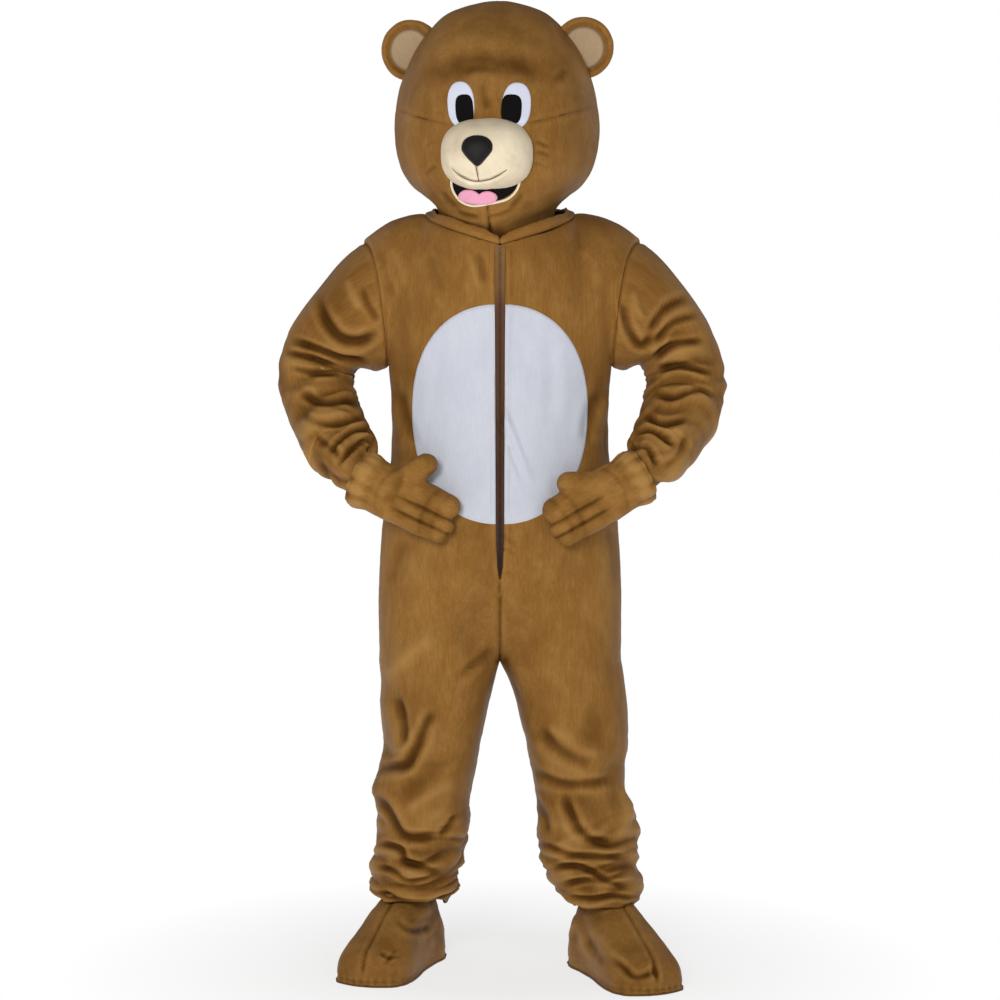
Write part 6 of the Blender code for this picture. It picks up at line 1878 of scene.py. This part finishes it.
def make_glove(side, materials):
    """One glove: a stuffed palm with three finger rolls and a thumb, hollow and open at the cuff."""
    hand = HANDS[side]
    frame_axes = [np.array(v) for v in hand_frame(hand)]
    along, across, out = frame_axes
    wrist = np.array((hand.x, hand.y, hand.height - SHOULDER_HEIGHT))
    bodies = []
    rows = read_table(GLOVE_PALM, np.linspace(GLOVE_PALM[0][0], GLOVE_PALM[-1][0], 44))
    angle = np.arange(48) / 48 * 2 * math.pi
    rings = []
    for reach, wide, deep in rows:
        sideways = wide * signed_power(np.cos(angle), 0.9)
        thick = deep * signed_power(np.sin(angle), 0.9)
        rings.append(np.stack([np.full(48, reach), sideways, thick], axis=1))
    bodies.append(ring_body(rings))
    for roll in FINGER_ROLLS:
        t = np.linspace(0, 1, 30)
        places = roll.start + (roll.end - roll.radius - roll.start) * t
        line = np.stack([places, roll.across * (1 - 0.02 * t), 0.001 + 0.003 * np.sin(t * math.pi)], axis=1)
        radii = roll.radius * (1 + 0.05 * np.sin(t * 9 + roll.across * 90))
        cap = np.linspace(0, math.pi / 2, 9)[1:]
        ends = line[-1] + np.stack([np.sin(cap) * roll.radius, 0 * cap, 0 * cap], axis=1)
        starts = line[0] - np.stack([np.sin(cap[::-1]) * roll.radius, 0 * cap, 0 * cap], axis=1)
        path = np.concatenate([starts, line, ends])
        sizes = np.concatenate([roll.radius * np.cos(cap[::-1]), radii, roll.radius * np.cos(cap)])
        sizes = np.maximum(sizes, 0.0008)
        bodies.append(finger_body(path, sizes, roll.flat, (0, 0, 1)))
    thumb = np.array(hand.thumb_axis) / np.linalg.norm(hand.thumb_axis)
    local_thumb = np.array([thumb @ along, thumb @ across, thumb @ out])
    start = np.array((THUMB_ALONG - 0.004, THUMB_ACROSS - 0.012, 0.004))
    t = np.linspace(0, 1, 22)
    line = start + local_thumb * (t * (hand.thumb_length + 0.012))[:, None]
    cap = np.linspace(0, math.pi / 2, 9)[1:]
    radius = THUMB_RADIUS
    radii = radius * (0.90 + 0.13 * np.sin(t * math.pi * 0.9))
    ends = line[-1] + local_thumb * (np.sin(cap) * radii[-1])[:, None]
    begins = line[0] - local_thumb * (np.sin(cap[::-1]) * radius * 0.9)[:, None]
    path = np.concatenate([begins, line, ends])
    sizes = np.concatenate([radius * 0.9 * np.cos(cap[::-1]), radii, radii[-1] * np.cos(cap)])
    sizes = np.maximum(sizes, 0.0008)
    bodies.append(finger_body(path, sizes, 1.0, (0.1, 0.3, 1.0)))
    points, faces, start_at = [], [], 0
    for body_points, body_faces in bodies:
        points.append(body_points)
        faces += [[c + start_at for c in face] for face in body_faces]
        start_at += len(body_points)
    work = mesh_object("glove_work", np.concatenate(points), faces, materials["plush"])
    tidy_normals(work)
    remesh = work.modifiers.new("join", "REMESH")
    remesh.mode = "VOXEL"
    remesh.voxel_size = 0.0023
    remesh.adaptivity = 0.0
    soft = work.modifiers.new("soft", "SMOOTH")
    soft.factor = 0.5
    soft.iterations = 4
    graph = bpy.context.evaluated_depsgraph_get()
    result = bpy.data.meshes.new_from_object(work.evaluated_get(graph))
    bpy.data.objects.remove(work, do_unlink=True)
    local = np.array([v.co for v in result.vertices])
    quads = np.array([tuple(f.vertices) for f in result.polygons if len(f.vertices) == 4])
    normals = normals_of(local, quads)
    if np.einsum("ij,ij->i", normals, local - (0.06, 0, 0)).mean() < 0:
        quads, normals = quads[:, ::-1], -normals
    seed = 900 if side == "left" else 950
    reach = local[:, 0]
    cuff = step(0.030, -0.010, reach)
    move = 0.0012 * lattice_noise(local * (26, 26, 26), seed) + 0.0005 * lattice_noise(local * 70, seed + 1)
    gathers = lattice_noise(np.stack([reach * 16, np.arctan2(local[:, 2], local[:, 1]) * 3.2, 0 * reach], 1), seed + 2)
    move += 0.0034 * cuff * gathers + 0.0030 * bump_at(reach, -0.006, 0.024)
    knuckle = bump_at(reach, 0.058, 0.024)
    rings_in = lattice_noise(np.stack([reach * 70, local[:, 1] * 16, local[:, 2] * 16], axis=1), seed + 3)
    move += 0.0016 * knuckle * rings_in
    for place, size in ((0.030, -0.0009), (0.120, -0.0009), (0.142, -0.0007)):
        bend = np.exp(-((reach - place - 0.10 * (local[:, 1] / 0.05) ** 2 * 0.1) / 0.0045) ** 2)
        move += size * bend * step(0.056, 0.040, np.abs(local[:, 1]))
    side_seam = np.exp(-((local[:, 2] + 0.002) / 0.0022) ** 2)
    move -= 0.0013 * side_seam * step(0.0, 0.02, reach + 0.03)
    stitch_ring = np.exp(-((reach + 0.0205) / 0.0018) ** 2)
    move -= 0.0011 * stitch_ring
    local = local + normals * move[:, None]
    painted_relief = np.clip(move / 0.0035, -1, 1)
    # Painted shade in the grooves between the finger rolls, on top of painted shade and highlight from the folds'
    # depth.
    groove = np.full(len(local), 1e9)
    for middle in (0.0010, -0.0240):
        groove = np.minimum(groove, np.abs(local[:, 1] - middle))
    between = np.exp(-(groove / 0.0035) ** 2) * step(0.055, 0.085, reach) * step(0.012, 0.006, groove)
    painted_relief = np.clip(painted_relief - 0.75 * between, -1, 1)
    bent = local.copy()
    curl = PALM_CURL * np.maximum(reach, 0) ** 2
    world = wrist + bent[:, :1] * along + bent[:, 1:2] * across + (bent[:, 2:3] - curl[:, None]) * out
    kept = np.all(local[quads][:, :, 0] > -0.0278, axis=1)
    quads = quads[kept]
    if np.linalg.det(np.stack(frame_axes)) < 0:
        quads = quads[:, ::-1]
    final = normals_of(world, quads)
    extras = {"nap": local[:, [1, 2, 0]], "painted_relief": painted_relief}
    piece = shell(f"glove_{side}", world, final, quads, CLOTH, materials["plush"], extras)
    declare(piece, [f"glove_{side}_back", f"glove_{side}_palm"])
    return piece


# Boot covers

BOOT_ROWS, BOOT_COLUMNS = 120, 96
BOOT_ENDS = (Foot(0.0992, 0.0115, 0.040), Foot(0.1002, 0.0004, 0.022))
BOOT_TOES = (Foot(-0.2166, 0.0110, 0.025), Foot(-0.2173, 0.0004, 0.014))


def make_boot(side, materials):
    """A boot cover: a plush upper with a seam over the instep, open at the ankle, and its sole."""
    boot = BOOTS[side]
    place = Matrix.Translation((boot.x, boot.y, -SHOULDER_HEIGHT)) @ Matrix.Rotation(boot.turn, 4, "Z")
    table = BOOT_ENDS[::-1] + FOOT + BOOT_TOES
    turn = np.linspace(0, math.pi, BOOT_ROWS + 1)
    along = (0.1002 + 0.2173) / 2 * np.cos(turn) + (0.1002 - 0.2173) / 2
    rows = read_table(table, along)
    power = 2 / BOOT_ROUNDNESS
    angle = np.linspace(0, math.pi, BOOT_COLUMNS + 1)
    lean = signed_power(np.cos(angle), power)
    lift = np.clip(np.sin(angle), 0, 1) ** power
    x = np.maximum(rows[:, 1:2], 0) * lean[None]
    z = 0.0042 + np.maximum(rows[:, 2:3] - 0.0042, 0) * lift[None]
    y = rows[:, :1] + 0 * x
    grid = np.stack([x, y, z], axis=2)
    skirt = grid[:, :1] * (0.93, 1, 1)
    inner_skirt = grid[:, -1:] * (0.93, 1, 1)
    grid = np.concatenate([skirt, grid, inner_skirt], axis=1)
    points, ids = merged([grid])
    quads = quads_of(ids[0])
    normals = normals_of(points, quads)
    if np.einsum("ij,ij->i", normals, points - (0, -0.06, 0.03)).mean() < 0:
        quads, normals = quads[:, ::-1], -normals
    uneven = lattice_noise(points * 70, 1001)
    move = seam_form(np.abs(points[:, 0]), uneven) * step(0.02, 0.04, points[:, 2]) * 1.2
    foot_seam = np.exp(-((points[:, 2] - 0.0105) / 0.0030) ** 2)
    move -= 0.0014 * foot_seam
    move += 0.0019 * lattice_noise(points * 13 + (boot.turn, 0, 0), 1002) * step(0.006, 0.03, points[:, 2])
    move += 0.0006 * lattice_noise(points * 40, 1003) * step(0.006, 0.03, points[:, 2])
    ankle = step(-0.085, -0.045, points[:, 1])
    rings = lattice_noise(points * (9, 22, 46), 1004)
    move += 0.0026 * ankle * rings * step(0.03, 0.06, points[:, 2])
    toe = step(-0.15, -0.20, points[:, 1])
    move += 0.0009 * toe * np.sin(points[:, 0] * 420) * np.exp(-((points[:, 2] - 0.013) / 0.008) ** 2)
    world = placed(points, place)
    turned = normals @ np.array(place.to_3x3()).T
    move += crease_depth(BOOT_CREASES, world, turned, 8) * step(0.02, 0.04, points[:, 2])
    moved = world + turned * move[:, None]
    oval = (points[:, 0] / ANKLE_HALF_WIDTH) ** 2 + ((points[:, 1] - ANKLE_BACK) / ANKLE_HALF_LENGTH) ** 2
    opened = np.all((oval < 1)[quads] & (points[:, 2] > 0.08)[quads], axis=1)
    quads = quads[~opened]
    final = normals_of(moved, quads)
    # Painted shade in the creases and painted highlight on their ridges, from the folds' depth.
    extras = {"nap": points[:, [0, 2, 1]], "painted_relief": np.clip(move / 0.0045, -1, 1)}
    upper = shell(f"boot_{side}_upper", moved, final, quads, CLOTH, materials["plush"], extras)
    declare(upper, [f"boot_{side}_inner", f"boot_{side}_outer"])
    widths = np.stack([rows[:, 1] + SOLE_MARGIN, rows[:, 0] * 1.005], axis=1)
    outline = np.concatenate([widths, widths[::-1] * (-1, 1)])
    plan = []
    for shrink, height in ((0.0, None), (0.96, 0.0), (0.99, 0.0003), (1.0, 0.0012), (1.0, 0.0030), (0.992, 0.0040),
                           (0.93, 0.0042), (0.0, None)):
        if height is not None:
            plan.append(np.column_stack([outline * shrink, np.full(len(outline), height)]))
    ids = np.arange(len(plan) * len(outline)).reshape(len(plan), len(outline))
    faces = quads_of(ids, closed=True).tolist() + [ids[0].tolist(), ids[-1].tolist()]
    flat = placed(np.concatenate(plan), place)
    sole = mesh_object(f"boot_{side}_sole", flat, faces, materials["sole"], None, sharp=50)
    tidy_normals(sole)
    declare(sole, [f"boot_{side}_sole"])
    return upper, sole


# Floor, lights and camera

def make_stage():
    """A wide pale floor."""
    material, tree, shader = new_tree("floor_paper")
    coords = put(tree, "ShaderNodeTexCoord").outputs["Object"]
    grain = noise_at(tree, coords, (3, 3, 3), 1.0, 4.0)
    colour = blended(tree, ranged(tree, grain, 0.3, 0.7, 0.0, 1.0), (0.90, 0.90, 0.895), (0.87, 0.87, 0.87))
    tree.links.new(colour, shader.inputs["Base Color"])
    shader.inputs["Roughness"].default_value = 0.85
    shader.inputs["Specular IOR Level"].default_value = 0.2
    glow = put(tree, "ShaderNodeEmission", Color=(1.0, 1.0, 1.0, 1.0))
    away = put(tree, "ShaderNodeVectorMath", Vector=coords)
    away.operation = "LENGTH"
    mix = tree.nodes.new("ShaderNodeMixShader")
    tree.links.new(ranged(tree, away.outputs["Value"], 0.25, 0.85, 0.72, 1.0), mix.inputs[0])
    tree.links.new(shader.outputs[0], mix.inputs[1])
    tree.links.new(glow.outputs[0], mix.inputs[2])
    tree.links.new(mix.outputs[0], tree.nodes["Material Output"].inputs["Surface"])
    shape = bmesh.new()
    bmesh.ops.create_grid(shape, x_segments=24, y_segments=24, size=9.0)
    mesh = bpy.data.meshes.new("floor")
    shape.to_mesh(mesh)
    shape.free()
    floor = bpy.data.objects.new("floor", mesh)
    floor.location = (0, 0, -SHOULDER_HEIGHT)
    mesh.materials.append(material)
    bpy.context.scene.collection.objects.link(floor)
    return floor


def add_light(name, place, target, size, power, colour=(1, 1, 1)):
    """A soft square lamp aimed at a point."""
    data = bpy.data.lights.new(name, "AREA")
    data.shape = "SQUARE"
    data.size = size
    data.energy = power
    data.color = colour
    lamp = bpy.data.objects.new(name, data)
    lamp.location = place
    lamp.rotation_mode = "QUATERNION"
    lamp.rotation_quaternion = (Vector(target) - Vector(place)).to_track_quat("-Z", "Y")
    bpy.context.scene.collection.objects.link(lamp)
    return lamp


def make_studio():
    """White surroundings, a big soft lamp in front, and lower ones at the sides and behind."""
    add_light("key", (-0.7, -3.2, 0.22), (0, 0, -0.05), 0.8, 58, (1.0, 0.98, 0.95))
    add_light("fill", (1.9, -3.8, 0.3), (0, 0, -0.4), 1.4, 20)
    add_light("back_left", (-3.0, 2.6, 1.6), (0, 0, -0.3), 2.0, 14)
    add_light("back_right", (3.0, 2.4, 1.4), (0, 0, -0.4), 2.0, 14)
    world = bpy.data.worlds.new("studio")
    bpy.context.scene.world = world
    world.use_nodes = True
    ground = world.node_tree.nodes["Background"]
    ground.inputs["Color"].default_value = (1.0, 1.0, 1.0, 1.0)
    ground.inputs["Strength"].default_value = 0.24
    sky = world.node_tree.nodes.new("ShaderNodeBackground")
    sky.inputs["Color"].default_value = (1.0, 1.0, 1.0, 1.0)
    sky.inputs["Strength"].default_value = 1.0
    seen = world.node_tree.nodes.new("ShaderNodeLightPath")
    mix = world.node_tree.nodes.new("ShaderNodeMixShader")
    links = world.node_tree.links
    links.new(seen.outputs["Is Camera Ray"], mix.inputs[0])
    links.new(ground.outputs[0], mix.inputs[1])
    links.new(sky.outputs[0], mix.inputs[2])
    links.new(mix.outputs[0], world.node_tree.nodes["World Output"].inputs["Surface"])


def make_camera():
    """The photograph's viewing angle."""
    data = bpy.data.cameras.new("camera")
    data.sensor_width = 36.0
    data.lens = 36.0 * FOCAL_PIXELS / FRAME_SIDE
    camera = bpy.data.objects.new("camera", data)
    camera.location = CAMERA_PLACE
    camera.rotation_euler = (math.pi / 2 - CAMERA_TILT, 0, 0)
    bpy.context.scene.collection.objects.link(camera)
    bpy.context.scene.camera = camera
    bpy.context.scene.view_settings.view_transform = "Standard"


# Each sheet's flat cut (width, length and area) and how it is held
Cut = namedtuple("Cut", "width length area held")


def main():
    materials = make_materials()
    make_camera()
    make_studio()
    make_stage()
    suit = Suit()
    panels = suit.build(materials["plush"])
    for name, piece in panels.items():
        declare(piece, [name])
    fronts = ("suit_front_left", "suit_front_right")
    tree = suit.tree(fronts)
    belly = make_belly(tree, materials)
    strip, teeth = make_zip(tree, materials)
    collar = make_collar(materials)
    head = Head()
    head.build(materials["plush"])
    make_face(head, materials)
    make_ears(head, materials)
    gloves = {side: make_glove(side, materials) for side in SIDES}
    boots = {side: make_boot(side, materials) for side in SIDES}


main()
